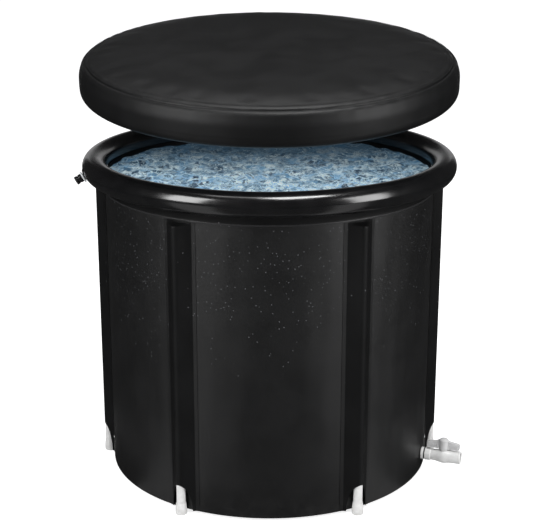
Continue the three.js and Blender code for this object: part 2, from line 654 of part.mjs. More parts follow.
// Lever with a domed hub over the bonnet and a wing along the pipe on each side
function valveHandle() {
  const skirt = BONNET_DIAMETER / 2 + HUB_CLEARANCE;
  const outer = skirt + HUB_WALL;
  const roof = BONNET_TOP + HUB_CLEARANCE;
  const gripTop = STEM_TOP + GAP;
  const domeFrom = HUB_TOP - outer / 2;
  const dome = arc(0, 0, 1, 0, 90, HUB_DOME_STEPS)
    .slice(0, -1)
    .map(({ x, y }) => point(outer * x, domeFrom + (HUB_TOP - domeFrom) * y));
  const hub = revolve(
    [
      point(0, gripTop),
      point(STEM_RADIUS + GAP, gripTop),
      point(STEM_RADIUS + GAP, roof),
      point(skirt, roof),
      point(skirt, HUB_BOTTOM),
      point(outer, HUB_BOTTOM),
      ...dome,
      point(0, HUB_TOP),
    ],
    FITTING_SIDES,
  );
  const root = skirt + HUB_WALL / 2;
  const tipTop = WING_TOP - HANDLE_TIP_DROP;
  const side = new THREE.Shape()
    .moveTo(root, WING_BOTTOM)
    .lineTo(HANDLE_HALF_LENGTH - HANDLE_CORNER, WING_BOTTOM)
    .quadraticCurveTo(HANDLE_HALF_LENGTH, WING_BOTTOM, HANDLE_HALF_LENGTH, WING_BOTTOM + HANDLE_CORNER)
    .lineTo(HANDLE_HALF_LENGTH, tipTop - HANDLE_CORNER)
    .quadraticCurveTo(HANDLE_HALF_LENGTH, tipTop, HANDLE_HALF_LENGTH - HANDLE_CORNER, tipTop)
    .lineTo(root, WING_TOP);
  const alongPipe = new THREE.Matrix4().makeBasis(
    new THREE.Vector3(0, 1, 0),
    new THREE.Vector3(0, 0, 1),
    new THREE.Vector3(1, 0, 0),
  );
  const flat = { depth: HANDLE_THICKNESS, bevelEnabled: false, curveSegments: 4 };
  const wing = new THREE.ExtrudeGeometry(side, flat)
    .translate(0, 0, -HANDLE_THICKNESS / 2)
    .applyMatrix4(alongPipe);
  return join(hub, wing, wing.clone().rotateZ(Math.PI));
}

function addValve(drain) {
  const sealCentre = STEM_RADIUS + TURNING_FIT + SEAL_SECTION / 2;
  const sealZ = BONNET_TOP - SEAL_RECESS + GAP + SEAL_SECTION / 2;
  const seal = revolve(arc(sealCentre, sealZ, SEAL_SECTION / 2, 0, 360, 6).slice(1), FITTING_SIDES);
  const retainerFrom = BALL_AT + SEAT_BACK + GAP;
  const retainerRing = rectangle(
    WATERWAY_RADIUS + GAP,
    CAVITY_RADIUS - GAP,
    retainerFrom,
    retainerFrom + RETAINER,
  );
  piece(drain, "valve_body", valveBody(), "whitePipe");
  piece(drain, "valve_seat_inlet", valveSeat(-1), "seatPlastic");
  piece(drain, "valve_seat_outlet", valveSeat(1), "seatPlastic");
  piece(drain, "valve_retainer", revolveOutwards(retainerRing, FITTING_SIDES), "greyLever");
  piece(drain, "valve_stem_seal", seal, "blackRubber").position.y = -BALL_AT;
  piece(drain, "valve_ball", valveBall(), "seatPlastic").position.y = -BALL_AT;
  piece(drain, "valve_stem", valveStem(), "greyLever").position.y = -BALL_AT;
  piece(drain, "valve_handle", valveHandle(), "greyLever").position.y = -BALL_AT;
}

// Lid in its own frame, its underside at z = 0
function addLid() {
  const pivot = new THREE.Group();
  pivot.position.set(0, -LID_PIVOT_REACH, RIM_HEIGHT + RING_SEAT);
  pivot.rotation.x = radians(LID_LIFT_ANGLE);
  tub.add(pivot);
  const lid = new THREE.Group();
  lid.position.y = LID_PIVOT_REACH;
  pivot.add(lid);

  const shoulderX = LID_RADIUS - LID_SHOULDER;
  const shoulderZ = LID_HEIGHT - LID_SHOULDER;
  const hemX = LID_RADIUS - LID_LOWER_EDGE;
  const seamHalf = THREE.MathUtils.radToDeg(GAP / LID_SHOULDER) / 2;
  const shoulder = (from, to, steps) => arc(shoulderX, shoulderZ, LID_SHOULDER, from, to, steps);
  const lowerEdge = arc(hemX, LID_LOWER_EDGE, LID_LOWER_EDGE, -90, 0, 4);
  const crown = [LID_CROWN_STEP, 0].map((share) =>
    point(shoulderX * share, LID_HEIGHT + LID_CROWN * (1 - share ** 2)),
  );

  // One outline for the cover, parted at the seam into the side band and the top panel
  const bandOutside = [point(hemX - LID_HEM, 0), ...lowerEdge, ...shoulder(0, LID_SEAM_ANGLE - seamHalf, 3)];
  const outside = [...bandOutside, ...shoulder(LID_SEAM_ANGLE + seamHalf, 90, 3), ...crown];
  const inside = inset(outside, LID_COVER);
  const part = (from, to) => [...outside.slice(from, to), ...inside.slice(from, to).reverse()];
  const seam = bandOutside.length;
  const undersideEdge = hemX - LID_HEM - GAP;
  const core = [point(0, LID_COVER + GAP), ...inset(outside, LID_COVER + GAP)];
  piece(lid, "lid_top_panel", revolveBody(part(seam)), "blackFabric");
  piece(lid, "lid_side_band", revolveBody(part(0, seam)), "blackFabric");
  piece(lid, "lid_base_panel", revolveBody(post(undersideEdge, 0, LID_COVER)), "blackFabric");
  piece(lid, "lid_core", revolveBody(core), "greyFoam");
}

addWall();
addRing();
for (let number = 1; number <= LEG_COUNT; number++) addLeg(number);
const drain = turnedGroup(DRAIN_ANGLE, DRAIN_HEIGHT);
addDrainFitting(drain);
addValve(drain);
addLid();

export default tub;
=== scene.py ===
import json
import math

import bmesh
import bpy
import numpy as np
from mathutils import Matrix, Vector


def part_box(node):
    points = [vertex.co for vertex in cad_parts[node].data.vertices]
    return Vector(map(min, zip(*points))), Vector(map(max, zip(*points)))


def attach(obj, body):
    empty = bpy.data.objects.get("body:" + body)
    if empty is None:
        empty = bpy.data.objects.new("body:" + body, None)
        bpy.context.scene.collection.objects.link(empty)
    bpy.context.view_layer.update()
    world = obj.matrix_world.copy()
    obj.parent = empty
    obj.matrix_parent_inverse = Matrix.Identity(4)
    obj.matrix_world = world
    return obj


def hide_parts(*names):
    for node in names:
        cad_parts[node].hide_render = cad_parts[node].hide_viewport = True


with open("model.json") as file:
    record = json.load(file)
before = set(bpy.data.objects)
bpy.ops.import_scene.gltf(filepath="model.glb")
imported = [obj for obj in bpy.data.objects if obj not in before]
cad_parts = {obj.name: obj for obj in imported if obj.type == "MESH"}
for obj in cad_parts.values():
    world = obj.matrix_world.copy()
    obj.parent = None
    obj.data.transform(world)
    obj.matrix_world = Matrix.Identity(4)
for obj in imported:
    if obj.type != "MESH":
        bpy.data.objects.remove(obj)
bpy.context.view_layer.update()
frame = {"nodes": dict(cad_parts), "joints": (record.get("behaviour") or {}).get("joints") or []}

# Photograph's frame, and the camera that fits it
PHOTO_WIDTH = 533
FOCAL_PIXELS = 1348.3
OPTICAL_CENTRE_X = 269.5
SENSOR_WIDTH = 36  # millimetres
CAMERA_BACK = 3.0142
CAMERA_HEIGHT = 1.4
CAMERA_PITCH = math.radians(17.12)

# Fits and cloth thicknesses, as in the part
FIT = 0.0003
SKIN_AND_FOAM = 0.0063
LINER_DEPTH = 0.0066
LINER = 0.001
POCKET_CLOTH = 0.0012
COLLAR_CLOTH = 0.0012
COLLAR_BEAD = 0.0006

# Wall, liner and base
WALL_FLARE_START = 0.670
WALL_SLACK = 0.00055
WALL_WAVE = 0.00018
WALL_FREE_FROM_LEG = 0.085
HEM_FOLD = 0.0006
HEM_DEPTH = 0.012
HEM_STEP = 0.0015
HEM_HOLDS = 0.05
COLLAR_HOLDS = 0.03
FLOOR_CORNER = 0.004
FLOOR_ROWS = (0.30, 0.20, 0.10, 0)
LINER_FOLD = 0.0008
LINER_SLACK = 0.0012
LINER_FREE_FROM = 0.02
LINER_FREE_Z = 0.10
RING_HOLDS_LINER = 0.05
BASE_SLOPE = 0.0287
BASE_EDGE = 0.002
BASE_CORNER = 0.006

# Ring and collar
RING_INSET = 0.0003
RING_PUCKER = 0.00003
RING_SWELL = 0.00022
LIP_FROM_WALL = 0.0085
LIP_DROP = 0.0034
LIP_THICK = 0.0020
LIP_WIDTH = 0.0042
PIPING_HEIGHT = 0.0026

# Drain fitting
NIPPLE_RADIUS = 0.0105
WATERWAY = 0.0065
DRAIN_CLAMP = 0.024
LINER_DRAWN_IN = 0.0007
DRILL_ROOM = 0.0008
DRILL_REACH = 0.03
FLANGE = 0.004

# Drain valve and its lever
VALVE_WALL = 0.0033
NECK_STEP = 0.0018
NUT_LENGTH = 0.013
NUT_CORNER = 0.0004
SOCKET_FROM = 0.004
SOCKET_TO = 0.010
SWELL_REACH = 0.0105
OUTLET_BEAD = 0.0006
BONNET_RADIUS = 0.0085
LEVER_GAP = 0.0007
HUB_WALL = 0.0018
WING_DROP = 0.0075
WING_HALF_THICK = 0.0042
GRIP_RIB = 0.0012
GRIP_RIBS = 5
GRIP_PITCH = 0.0042
GRIP_FROM_END = 0.006

# Air valve
AIR_BORE = 0.005
AIR_STEM = 0.007
AIR_COLLAR = 0.0034
PATCH_LIFT = 0.0015
PLUG_GROOVE = 0.0016
PLUG_FLUTES = 10
FLUTE_DEPTH = 0.0024
PLUG_DIMPLE = 0.002

# Legs
LEG_ANGLES = [math.radians(30 + 60 * number) for number in range(6)]
POCKET_WELD = 0.008
POCKET_CLOSING = 0.008
POCKET_CLOSED_SHARE = 0.3
NOTCH_TOP = 0.073
NOTCH_HALF_WIDTH = 0.025
CREASE_DEPTH = 0.00045
WELD_PRESSED = 0.9
PIPE_WALL = 0.002
FOOT_LIP = 0.0005
FOOT_FLOOR = 0.004

# Lid
LID_SHOULDER = 0.045
LID_LOWER_EDGE = 0.018
LID_CROWN = 0.005
LID_SEAM_ANGLE = math.radians(48)
LID_SWELL_LIMIT = 0.0035
SEAM_GROOVE = 0.0024
SEAM_WIDTH = 0.0022
SEAM_PILLOW = 0.0016
PILLOW_FROM_SEAM = 0.009
PILLOW_WIDTH = 0.007
SEAM_PUCKER = 0.00042
PUCKER_REACH = 0.018
LID_SLACK = 0.0004
STITCH_RISE = 0.0042
STITCH_LIFT = 0.0004

# Water
WATER_LEVEL = 0.694
WATER_DEPTH = 0.03
WATER_GAP = 0.0015
CELL_STRETCH = 1.9
CHOP_WAVES = 30
CHOP_LENGTHS = (0.03, 0.12)
CHOP_HEIGHT = 0.0022


def joint(name):
    return next(each for each in frame["joints"] if each["name"] == name)


def local_box(node, place):
    """Lowest and highest corner of a CAD node in a turned and moved frame."""
    inverse = place.inverted()
    corners = np.array([inverse @ vertex.co for vertex in frame["nodes"][node].data.vertices])
    return Vector(corners.min(axis=0)), Vector(corners.max(axis=0))


# Tub and ring, read from the frame
ring_low, ring_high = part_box("air_ring")
RING_TUBE = (ring_high.z - ring_low.z) / 2
RING_CENTRE = ring_high.x - RING_TUBE
RING_Z = ring_high.z - RING_TUBE
BODY_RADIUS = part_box("rod_foot_2")[0].x - FIT
HEM_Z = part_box("outer_skin")[0].z
WALL_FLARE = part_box("outer_skin")[1].x - BODY_RADIUS
COLLAR_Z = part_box("ring_collar")[0].z
LINER_FLOOR_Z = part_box("inner_liner")[0].z

# Legs, read from the leg that stands on the X axis
rod_low, rod_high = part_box("support_rod_2")
ROD_RADIUS = rod_high.y
ROD_CIRCLE = (rod_low.x + rod_high.x) / 2
foot_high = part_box("rod_foot_2")[1]
FOOT_RADIUS = foot_high.y
pocket_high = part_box("leg_pocket_2")[1]
POCKET_TOP = pocket_high.z
POCKET_HALF_WIDTH = pocket_high.y - POCKET_WELD

# Drain and air valve: frames whose -Y points outwards along the fitting
drain_pivot = Vector(joint("drain_lever_turn")["pos_m"])
DRAIN_ANGLE = math.atan2(drain_pivot.x, -drain_pivot.y)
DRAIN_PLACE = Matrix.Translation((0, 0, drain_pivot.z)) @ Matrix.Rotation(DRAIN_ANGLE, 4, "Z")
BALL_AT = drain_pivot.xy.length
BONNET_TOP = local_box("valve_body", DRAIN_PLACE)[1].z
pull = Vector(joint("air_plug_pull")["axis"])
AIR_PLACE = (
    Matrix.Rotation(math.atan2(pull.x, -pull.y), 4, "Z")
    @ Matrix.Translation((0, -RING_CENTRE, RING_Z))
    @ Matrix.Rotation(-math.asin(pull.z), 4, "X")
)

# Lid: its own frame has the underside at z = 0
lid_pivot = Vector(joint("lid_lift")["pos_m"])
LID_PLACE = (
    Matrix.Translation(lid_pivot)
    @ Matrix.Rotation(math.radians(-joint("lid_lift")["range_deg"][0]), 4, "X")
    @ Matrix.Translation((0, -lid_pivot.y, 0))
)
LID_RADIUS = local_box("lid_side_band", LID_PLACE)[1].x
LID_HEIGHT = local_box("lid_top_panel", LID_PLACE)[1].z - LID_CROWN


# Shapes: a shape is an array of points and a list of faces

def grid(points, wrap_rows=False, wrap_columns=False):
    """Quads over rows of points, with the last row or column joined to the first where asked."""
    points = np.asarray(points, float)
    rows, columns = points.shape[:2]
    row = np.arange(rows if wrap_rows else rows - 1)[:, None]
    column = np.arange(columns if wrap_columns else columns - 1)[None, :]
    next_row = (row + 1) % rows
    next_column = (column + 1) % columns
    corners = [
        row * columns + column,
        row * columns + next_column,
        next_row * columns + next_column,
        next_row * columns + column,
    ]
    faces = np.stack(np.broadcast_arrays(*corners), axis=-1).reshape(-1, 4)
    return points.reshape(-1, 3), faces.tolist()


def around(radius, height, angle):
    """Points at an angle from the front, towards +X."""
    return np.stack(np.broadcast_arrays(radius * np.sin(angle), -radius * np.cos(angle), height), axis=-1)


def full_turn(sides):
    return np.arange(sides) * 2 * math.pi / sides


def sector(start, end, steps):
    return np.radians(np.linspace(start, end, steps))[None, :]


def turned(profile, sides, ring=True):
    """Profile of (radius, height) points turned about Z, as a closed ring or from axis to axis."""
    profile = np.asarray(profile, float)
    points = around(profile[:, :1], profile[:, 1:], full_turn(sides)[None, :])
    return grid(points, wrap_rows=ring, wrap_columns=True)


def outwards(shape):
    """Turns a shape so that its Z axis points outwards, along -Y."""
    return moved(shape, Matrix.Rotation(math.pi / 2, 4, "X"))


def moved(shape, matrix):
    points, faces = shape
    turn = np.array(matrix.to_3x3())
    return points @ turn.T + np.array(matrix.translation), faces


def drill(radius, start, end, sides, place):
    """Round drill along a fitting's outward axis."""
    bar = turned([(0, start), (radius, start), (radius, end), (0, end)], sides, False)
    return moved(outwards(bar), place)


def together(*shapes):
    """One shape of several, each still closed by itself."""
    points, faces, first = [], [], 0
    for part_points, part_faces in shapes:
        points.append(part_points)
        faces += [[first + index for index in face] for face in part_faces]
        first += len(part_points)
    return np.concatenate(points), faces


def rounded(outline, radius, steps=4, closed=True):
    """Outline with its corners turned into rounds; an open one keeps its two ends."""
    points = [np.array(point, float) for point in outline]
    smooth = []
    for index, here in enumerate(points):
        if not closed and index in (0, len(points) - 1):
            smooth.append(here)
            continue
        back = points[index - 1] - here
        on = points[(index + 1) % len(points)] - here
        reach = min(radius, 0.45 * np.linalg.norm(back), 0.45 * np.linalg.norm(on))
        start = here + back / np.linalg.norm(back) * reach
        end = here + on / np.linalg.norm(on) * reach
        for share in np.linspace(0, 1, steps + 1):
            smooth.append((1 - share) ** 2 * start + 2 * share * (1 - share) * here + share**2 * end)
    return np.array(smooth)


def arc(centre, radius, start, end, steps):
    angles = np.radians(np.linspace(start, end, steps + 1))
    return [(centre[0] + radius * math.cos(a), centre[1] + radius * math.sin(a)) for a in angles]


def prism(outline, low, high):
    """Upright prism over an outline that runs anticlockwise."""
    outline = np.asarray(outline, float)
    count = len(outline)
    level = [np.column_stack([outline, np.full(count, z)]) for z in (low, high)]
    sides = [[i, (i + 1) % count, count + (i + 1) % count, count + i] for i in range(count)]
    ends = [list(range(count))[::-1], list(range(count, 2 * count))]
    return np.concatenate(level), sides + ends


def smooth_step(value, low, high):
    share = np.clip((value - low) / (high - low), 0, 1)
    return share * share * (3 - 2 * share)


def ripples(angle, along, seed, waves, turns, lengths):
    """Soft random ripples of about unit height, made of waves that close round the tub."""
    random = np.random.default_rng(seed)
    total = 0
    for _ in range(waves):
        count = random.integers(*turns)
        length = random.uniform(*lengths) * random.choice((-1, 1))
        phase = random.uniform(0, 2 * math.pi)
        total = total + np.cos(count * angle + 2 * math.pi * along / length + phase)
    return total / math.sqrt(waves)


# Objects

def new_object(name, shape):
    """An object of a shape, doubles merged and faces outwards."""
    points, faces = shape
    mesh = bpy.data.meshes.new(name)
    mesh.from_pydata(points.tolist(), [], faces)
    work = bmesh.new()
    work.from_mesh(mesh)
    bmesh.ops.remove_doubles(work, verts=work.verts, dist=1e-6)
    bmesh.ops.recalc_face_normals(work, faces=work.faces)
    work.to_mesh(mesh)
    work.free()
    made = bpy.data.objects.new(name, mesh)
    bpy.context.scene.collection.objects.link(made)
    return made


def points_of(made):
    return np.array([vertex.co for vertex in made.data.vertices])


def put_points(made, points):
    made.data.vertices.foreach_set("co", points.ravel())
    made.data.update()


def settle(made):
    """Turns an object's modifiers into a plain mesh."""
    graph = bpy.context.evaluated_depsgraph_get()
    mesh = bpy.data.meshes.new_from_object(made.evaluated_get(graph))
    made.modifiers.clear()
    made.data = mesh
    mesh.name = made.name
    return made


def remove(made):
    bpy.data.objects.remove(made, do_unlink=True)


def cut(made, *shapes):
    """Cuts shapes out of an object."""
    tools = [new_object("cutting_tool", shape) for shape in shapes]
    for tool in tools:
        modifier = made.modifiers.new("cut", "BOOLEAN")
        modifier.operation = "DIFFERENCE"
        modifier.solver = "EXACT"
        modifier.object = tool
    settle(made)
    for tool in tools:
        remove(tool)
    return made


def fuse(made, voxel, passes):
    """Fuses overlapping closed shapes into one moulded form with soft inner corners."""
    remesh = made.modifiers.new("fuse", "REMESH")
    remesh.mode = "VOXEL"
    remesh.voxel_size = voxel
    smooth = made.modifiers.new("soften", "SMOOTH")
    smooth.factor = 0.5
    smooth.iterations = passes
    return settle(made)


def dress(made, finish, body="tub", stands_for=(), crease=40):
    """Gives a finished piece its material, its body and the CAD nodes that it stands for."""
    made.data.materials.clear()
    made.data.materials.append(finish)
    made.data.polygons.foreach_set("use_smooth", [True] * len(made.data.polygons))
    made.data.set_sharp_from_angle(angle=math.radians(crease))
    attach(made, body)
    if stands_for:
        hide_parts(*stands_for)
    return made


def second_finish(made, finish, chosen):
    """Gives the chosen faces another finish."""
    made.data.materials.append(finish)
    made.data.polygons.foreach_set("material_index", [int(each) for each in chosen])


# Node trees and shaders

MIX_FIRST_COLOUR = 6
MIX_SECOND_COLOUR = 7
MIX_COLOUR_OUT = 2


def grey(level):
    return level, level, level, 1


class Nodes:
    """Adds nodes to a tree; a value is a number, a colour or another socket."""

    def __init__(self, tree):
        self.tree = tree

    def put(self, socket, value):
        if isinstance(value, bpy.types.NodeSocket):
            self.tree.links.new(value, socket)
        else:
            socket.default_value = value

    def node(self, kind, settings=None, **inputs):
        made = self.tree.nodes.new(kind)
        for name, value in (settings or {}).items():
            setattr(made, name, value)
        for name, value in inputs.items():
            self.put(made.inputs[name.replace("_", " ")], value)
        return made


class Shader(Nodes):
    """Adds shader nodes to a material's or a group's tree."""

    def math(self, operation, *values):
        made = self.node("ShaderNodeMath", {"operation": operation})
        for index, value in enumerate(values):
            self.put(made.inputs[index], value)
        return made.outputs[0]

    def span(self, value, low, high, to_low=0.0, to_high=1.0):
        made = self.node("ShaderNodeMapRange", {"interpolation_type": "SMOOTHSTEP"}, Value=value)
        for name, number in (("From Min", low), ("From Max", high), ("To Min", to_low), ("To Max", to_high)):
            self.put(made.inputs[name], number)
        return made.outputs["Result"]

    def mix(self, share, first, second):
        made = self.node("ShaderNodeMix", {"data_type": "RGBA"}, Factor=share)
        self.put(made.inputs[MIX_FIRST_COLOUR], first)
        self.put(made.inputs[MIX_SECOND_COLOUR], second)
        return made.outputs[MIX_COLOUR_OUT]

    def place(self):
        return self.tree.nodes.new("ShaderNodeTexCoord").outputs["Object"]

    def height(self):
        return self.node("ShaderNodeSeparateXYZ", Vector=self.place()).outputs["Z"]

    def noise(self, scale, detail=2.0, roughness=0.5, stretch=(1, 1, 1)):
        where = self.node("ShaderNodeMapping", Vector=self.place(), Scale=stretch).outputs["Vector"]
        made = self.node("ShaderNodeTexNoise", Vector=where, Scale=scale, Detail=detail, Roughness=roughness)
        return made.outputs[0]

    def bump(self, height, strength, distance):
        made = self.node("ShaderNodeBump", Height=height, Strength=strength, Distance=distance)
        return made.outputs["Normal"]


def new_group(name, inputs, outputs):
    """Empty shader group with float inputs and outputs; returns its tree, shader, input and output nodes."""
    tree = bpy.data.node_groups.new(name, "ShaderNodeTree")
    for label, value in inputs.items():
        tree.interface.new_socket(label, in_out="INPUT", socket_type="NodeSocketFloat").default_value = value
    for label in outputs:
        tree.interface.new_socket(label, in_out="OUTPUT", socket_type="NodeSocketFloat")
    entry = tree.nodes.new("NodeGroupInput")
    leave = tree.nodes.new("NodeGroupOutput")
    return tree, Shader(tree), entry.outputs, leave.inputs


def make_cloth_grain():
    """Woven backing that shows through the laminate, and its slow mottling."""
    inputs = {"Threads per metre": 900, "Mottle scale": 14}
    tree, s, entry, leave = new_group("cloth_grain", inputs, ("Height", "Mottle"))
    x, y, z = s.node("ShaderNodeSeparateXYZ", Vector=s.place()).outputs
    run = s.math("MULTIPLY", s.math("ARCTAN2", x, s.math("MULTIPLY", y, -1)), BODY_RADIUS)
    turns = s.math("MULTIPLY", entry["Threads per metre"], 2 * math.pi)
    warp = s.math("SINE", s.math("MULTIPLY", run, turns))
    weft = s.math("SINE", s.math("MULTIPLY", z, turns))
    fine = s.noise(2600, 2)
    weave = s.math("MULTIPLY", warp, weft)
    s.put(leave["Height"], s.math("MULTIPLY_ADD", weave, 0.35, fine))
    s.put(leave["Mottle"], s.span(s.noise(entry["Mottle scale"], 3), 0.3, 0.7))
    return tree


def make_moisture_beads():
    """Fine beads of condensation, thicker in drifts and between two heights."""
    inputs = {"Bead spacing": 0.0095, "Bead size": 0.15, "Share": 0.5, "Low": 0.30, "High": 0.55}
    tree, s, entry, leave = new_group("moisture_beads", inputs, ("Beads", "Height"))
    scale = s.math("DIVIDE", 1, entry["Bead spacing"])
    cells = s.node("ShaderNodeTexVoronoi", Vector=s.place(), Scale=scale)
    chance = s.node("ShaderNodeSeparateColor", Color=cells.outputs["Color"]).outputs[0]
    drifts = s.span(s.noise(9, 3), 0.20, 0.52)
    rise = s.span(s.height(), entry["Low"], entry["High"])
    wanted = s.math("MULTIPLY", s.math("MULTIPLY", drifts, rise), entry["Share"])
    there = s.math("LESS_THAN", chance, wanted)
    dome = s.math("SUBTRACT", 1, s.math("DIVIDE", cells.outputs["Distance"], entry["Bead size"]))
    round_bead = s.math("MAXIMUM", dome, 0)
    beads = s.math("MULTIPLY", there, round_bead)
    s.put(leave["Beads"], s.math("MINIMUM", s.math("MULTIPLY", beads, 3), 1))
    s.put(leave["Height"], beads)
    return tree


def make_floor_dust():
    """Pale dust that thins out upwards from the floor."""
    inputs = {"Reach": 0.06, "Amount": 0.5}
    tree, s, entry, leave = new_group("floor_dust", inputs, ("Dust",))
    low = s.math("SUBTRACT", 1, s.math("DIVIDE", s.height(), entry["Reach"]))
    patches = s.span(s.noise(60, 4, 0.6), 0.35, 0.75)
    settled = s.math("MULTIPLY", s.math("MAXIMUM", low, 0), patches)
    s.put(leave["Dust"], s.math("MULTIPLY", settled, entry["Amount"]))
    return tree


def make_moulded_skin():
    """Faint waviness, fine texture and mottling of moulded plastic."""
    inputs = {"Wave scale": 120, "Fine scale": 1500}
    tree, s, entry, leave = new_group("moulded_skin", inputs, ("Height", "Mottle"))
    waves = s.noise(entry["Wave scale"], 2)
    fine = s.noise(entry["Fine scale"], 1)
    s.put(leave["Height"], s.math("MULTIPLY_ADD", fine, 0.3, waves))
    s.put(leave["Mottle"], s.span(waves, 0.3, 0.7))
    return tree


CLOTH_GRAIN = make_cloth_grain()
MOISTURE_BEADS = make_moisture_beads()
FLOOR_DUST = make_floor_dust()
MOULDED_SKIN = make_moulded_skin()


def use_group(s, tree, **values):
    return s.node("ShaderNodeGroup", {"node_tree": tree}, **values).outputs


def new_material(name):
    """A material with an empty Principled shader; returns it, its shader helper and its inputs."""
    material = bpy.data.materials.new(name)
    material.use_nodes = True
    principled = material.node_tree.nodes["Principled BSDF"]
    return material, Shader(material.node_tree), principled.inputs


def make_laminate(name, dark, light, roughness, gloss_level, share, grain_strength):
    """Black laminated fabric: woven grain, mottled gloss, beads of moisture with a paler colour that is a
    painted highlight for their glints, and dust near the floor.
    """
    material, s, inputs = new_material(name)
    grain = use_group(s, CLOTH_GRAIN)
    beads = use_group(s, MOISTURE_BEADS, Share=share)
    dust = use_group(s, FLOOR_DUST, Amount=0.10)["Dust"]
    cloth = s.mix(grain["Mottle"], dark, light)
    # Beads of moisture: real in roughness and bump; their paler colour is a painted highlight standing for
    # glints.
    beads_painted_glints = s.mix(s.math("MULTIPLY", beads["Beads"], 0.8), cloth, (0.125, 0.130, 0.137, 1))
    s.put(inputs["Base Color"], s.mix(dust, beads_painted_glints, (0.075, 0.072, 0.068, 1)))
    gloss = s.span(grain["Mottle"], 0, 1, roughness - 0.015, roughness + 0.02)
    wet = s.math("MULTIPLY_ADD", beads["Beads"], -0.25, gloss)
    s.put(inputs["Roughness"], s.math("MULTIPLY_ADD", dust, 0.3, wet))
    weave = s.bump(grain["Height"], grain_strength, 0.0002)
    raised = s.node("ShaderNodeBump", Height=beads["Height"], Strength=0.25, Distance=0.0008, Normal=weave)
    s.put(inputs["Normal"], raised.outputs["Normal"])
    inputs["Specular IOR Level"].default_value = gloss_level
    return material


def make_moulded(name, colours, roughness, strength, distance=0.0003, **scales):
    """Mottled finish with a moulded skin; returns it and its inputs."""
    material, s, inputs = new_material(name)
    skin = use_group(s, MOULDED_SKIN, **scales)
    s.put(inputs["Base Color"], s.mix(skin["Mottle"], *colours))
    s.put(inputs["Roughness"], s.span(skin["Mottle"], 0, 1, *roughness))
    s.put(inputs["Normal"], s.bump(skin["Height"], strength, distance))
    return material, inputs


def make_ring_vinyl():
    """Glossy inflated vinyl with a faint orange-peel skin."""
    colours = (0.0040, 0.0041, 0.0044, 1), (0.0058, 0.0058, 0.0062, 1)
    scales = {"Wave_scale": 22, "Fine_scale": 900}
    material, inputs = make_moulded("ring_vinyl", colours, (0.17, 0.21), 0.06, 0.0004, **scales)
    inputs["Specular IOR Level"].default_value = 1.0
    return material


def make_liner_vinyl():
    """Dark inner vinyl, wet below the water line."""
    material, s, inputs = new_material("liner_vinyl")
    grain = use_group(s, CLOTH_GRAIN, Threads_per_metre=700)
    s.put(inputs["Base Color"], s.mix(grain["Mottle"], (0.004, 0.004, 0.005, 1), (0.007, 0.007, 0.008, 1)))
    s.put(inputs["Roughness"], s.span(s.height(), WATER_LEVEL - 0.02, WATER_LEVEL + 0.01, 0.30, 0.70))
    s.put(inputs["Normal"], s.bump(grain["Height"], 0.3, 0.0002))
    inputs["Specular IOR Level"].default_value = 0.1
    return material


def make_plastic(name, colour, shade, roughness, dusty=0.0):
    """Moulded plastic with slow mottling, and dust where it meets the floor."""
    material, s, inputs = new_material(name)
    skin = use_group(s, MOULDED_SKIN)
    dust = use_group(s, FLOOR_DUST, Reach=0.05, Amount=dusty)["Dust"]
    plain = s.mix(skin["Mottle"], colour, shade)
    s.put(inputs["Base Color"], s.mix(dust, plain, (0.42, 0.40, 0.37, 1)))
    gloss = s.span(skin["Mottle"], 0, 1, roughness - 0.05, roughness + 0.06)
    s.put(inputs["Roughness"], s.math("MULTIPLY_ADD", dust, 0.3, gloss))
    s.put(inputs["Normal"], s.bump(skin["Height"], 0.2, 0.0003))
    return material


def make_rubber():
    """Matt black rubber with a slight bloom."""
    colours = grey(0.009), (0.020, 0.020, 0.021, 1)
    return make_moulded("black_rubber", colours, (0.55, 0.72), 0.3, Wave_scale=250)[0]


def make_clear_vinyl():
    """Milky soft vinyl of the air valve."""
    colours = (0.62, 0.64, 0.66, 1), (0.74, 0.76, 0.77, 1)
    material, inputs = make_moulded("clear_vinyl", colours, (0.22, 0.34), 0.2, Wave_scale=300)
    inputs["Subsurface Weight"].default_value = 0.3
    inputs["Subsurface Radius"].default_value = (0.004, 0.004, 0.004)
    return material


def make_thread():
    """Black sewing thread with its twist."""
    material, s, inputs = new_material("lid_thread")
    twist = s.noise(3000, 2)
    s.put(inputs["Base Color"], s.mix(twist, (0.010, 0.010, 0.011, 1), (0.028, 0.028, 0.030, 1)))
    s.put(inputs["Roughness"], s.span(twist, 0.3, 0.7, 0.45, 0.65))
    s.put(inputs["Normal"], s.bump(twist, 0.4, 0.0002))
    return material


def make_churned_cells():
    """Cells of churned water: white crests between them, and how deep and how pale each one is."""
    inputs = {"Cells per metre": 60, "Crest width": 0.1}
    tree, s, entry, leave = new_group("churned_cells", inputs, ("Crest", "Depth", "Tone"))
    swirl = s.node("ShaderNodeTexNoise", Vector=s.place(), Scale=40, Detail=3).outputs["Color"]
    bent = s.node("ShaderNodeVectorMath", {"operation": "MULTIPLY_ADD"})
    s.put(bent.inputs[0], swirl)
    s.put(bent.inputs[1], (0.042, 0.050, 0))
    s.put(bent.inputs[2], s.place())
    where = s.node("ShaderNodeMapping", Vector=bent.outputs[0], Scale=(1, 1 / CELL_STRETCH, 0))
    plain = {"voronoi_dimensions": "2D"}
    common = {"Vector": where.outputs["Vector"], "Scale": entry["Cells per metre"]}
    cells = s.node("ShaderNodeTexVoronoi", plain, **common)
    edges = s.node("ShaderNodeTexVoronoi", {**plain, "feature": "DISTANCE_TO_EDGE"}, **common)
    from_edge = edges.outputs["Distance"]
    s.put(leave["Tone"], s.node("ShaderNodeSeparateColor", Color=cells.outputs["Color"]).outputs[0])
    s.put(leave["Crest"], s.span(from_edge, 0, entry["Crest width"], 1, 0))
    s.put(leave["Depth"], s.span(from_edge, 0.02, 0.30))
    return tree


CHURNED_CELLS = make_churned_cells()


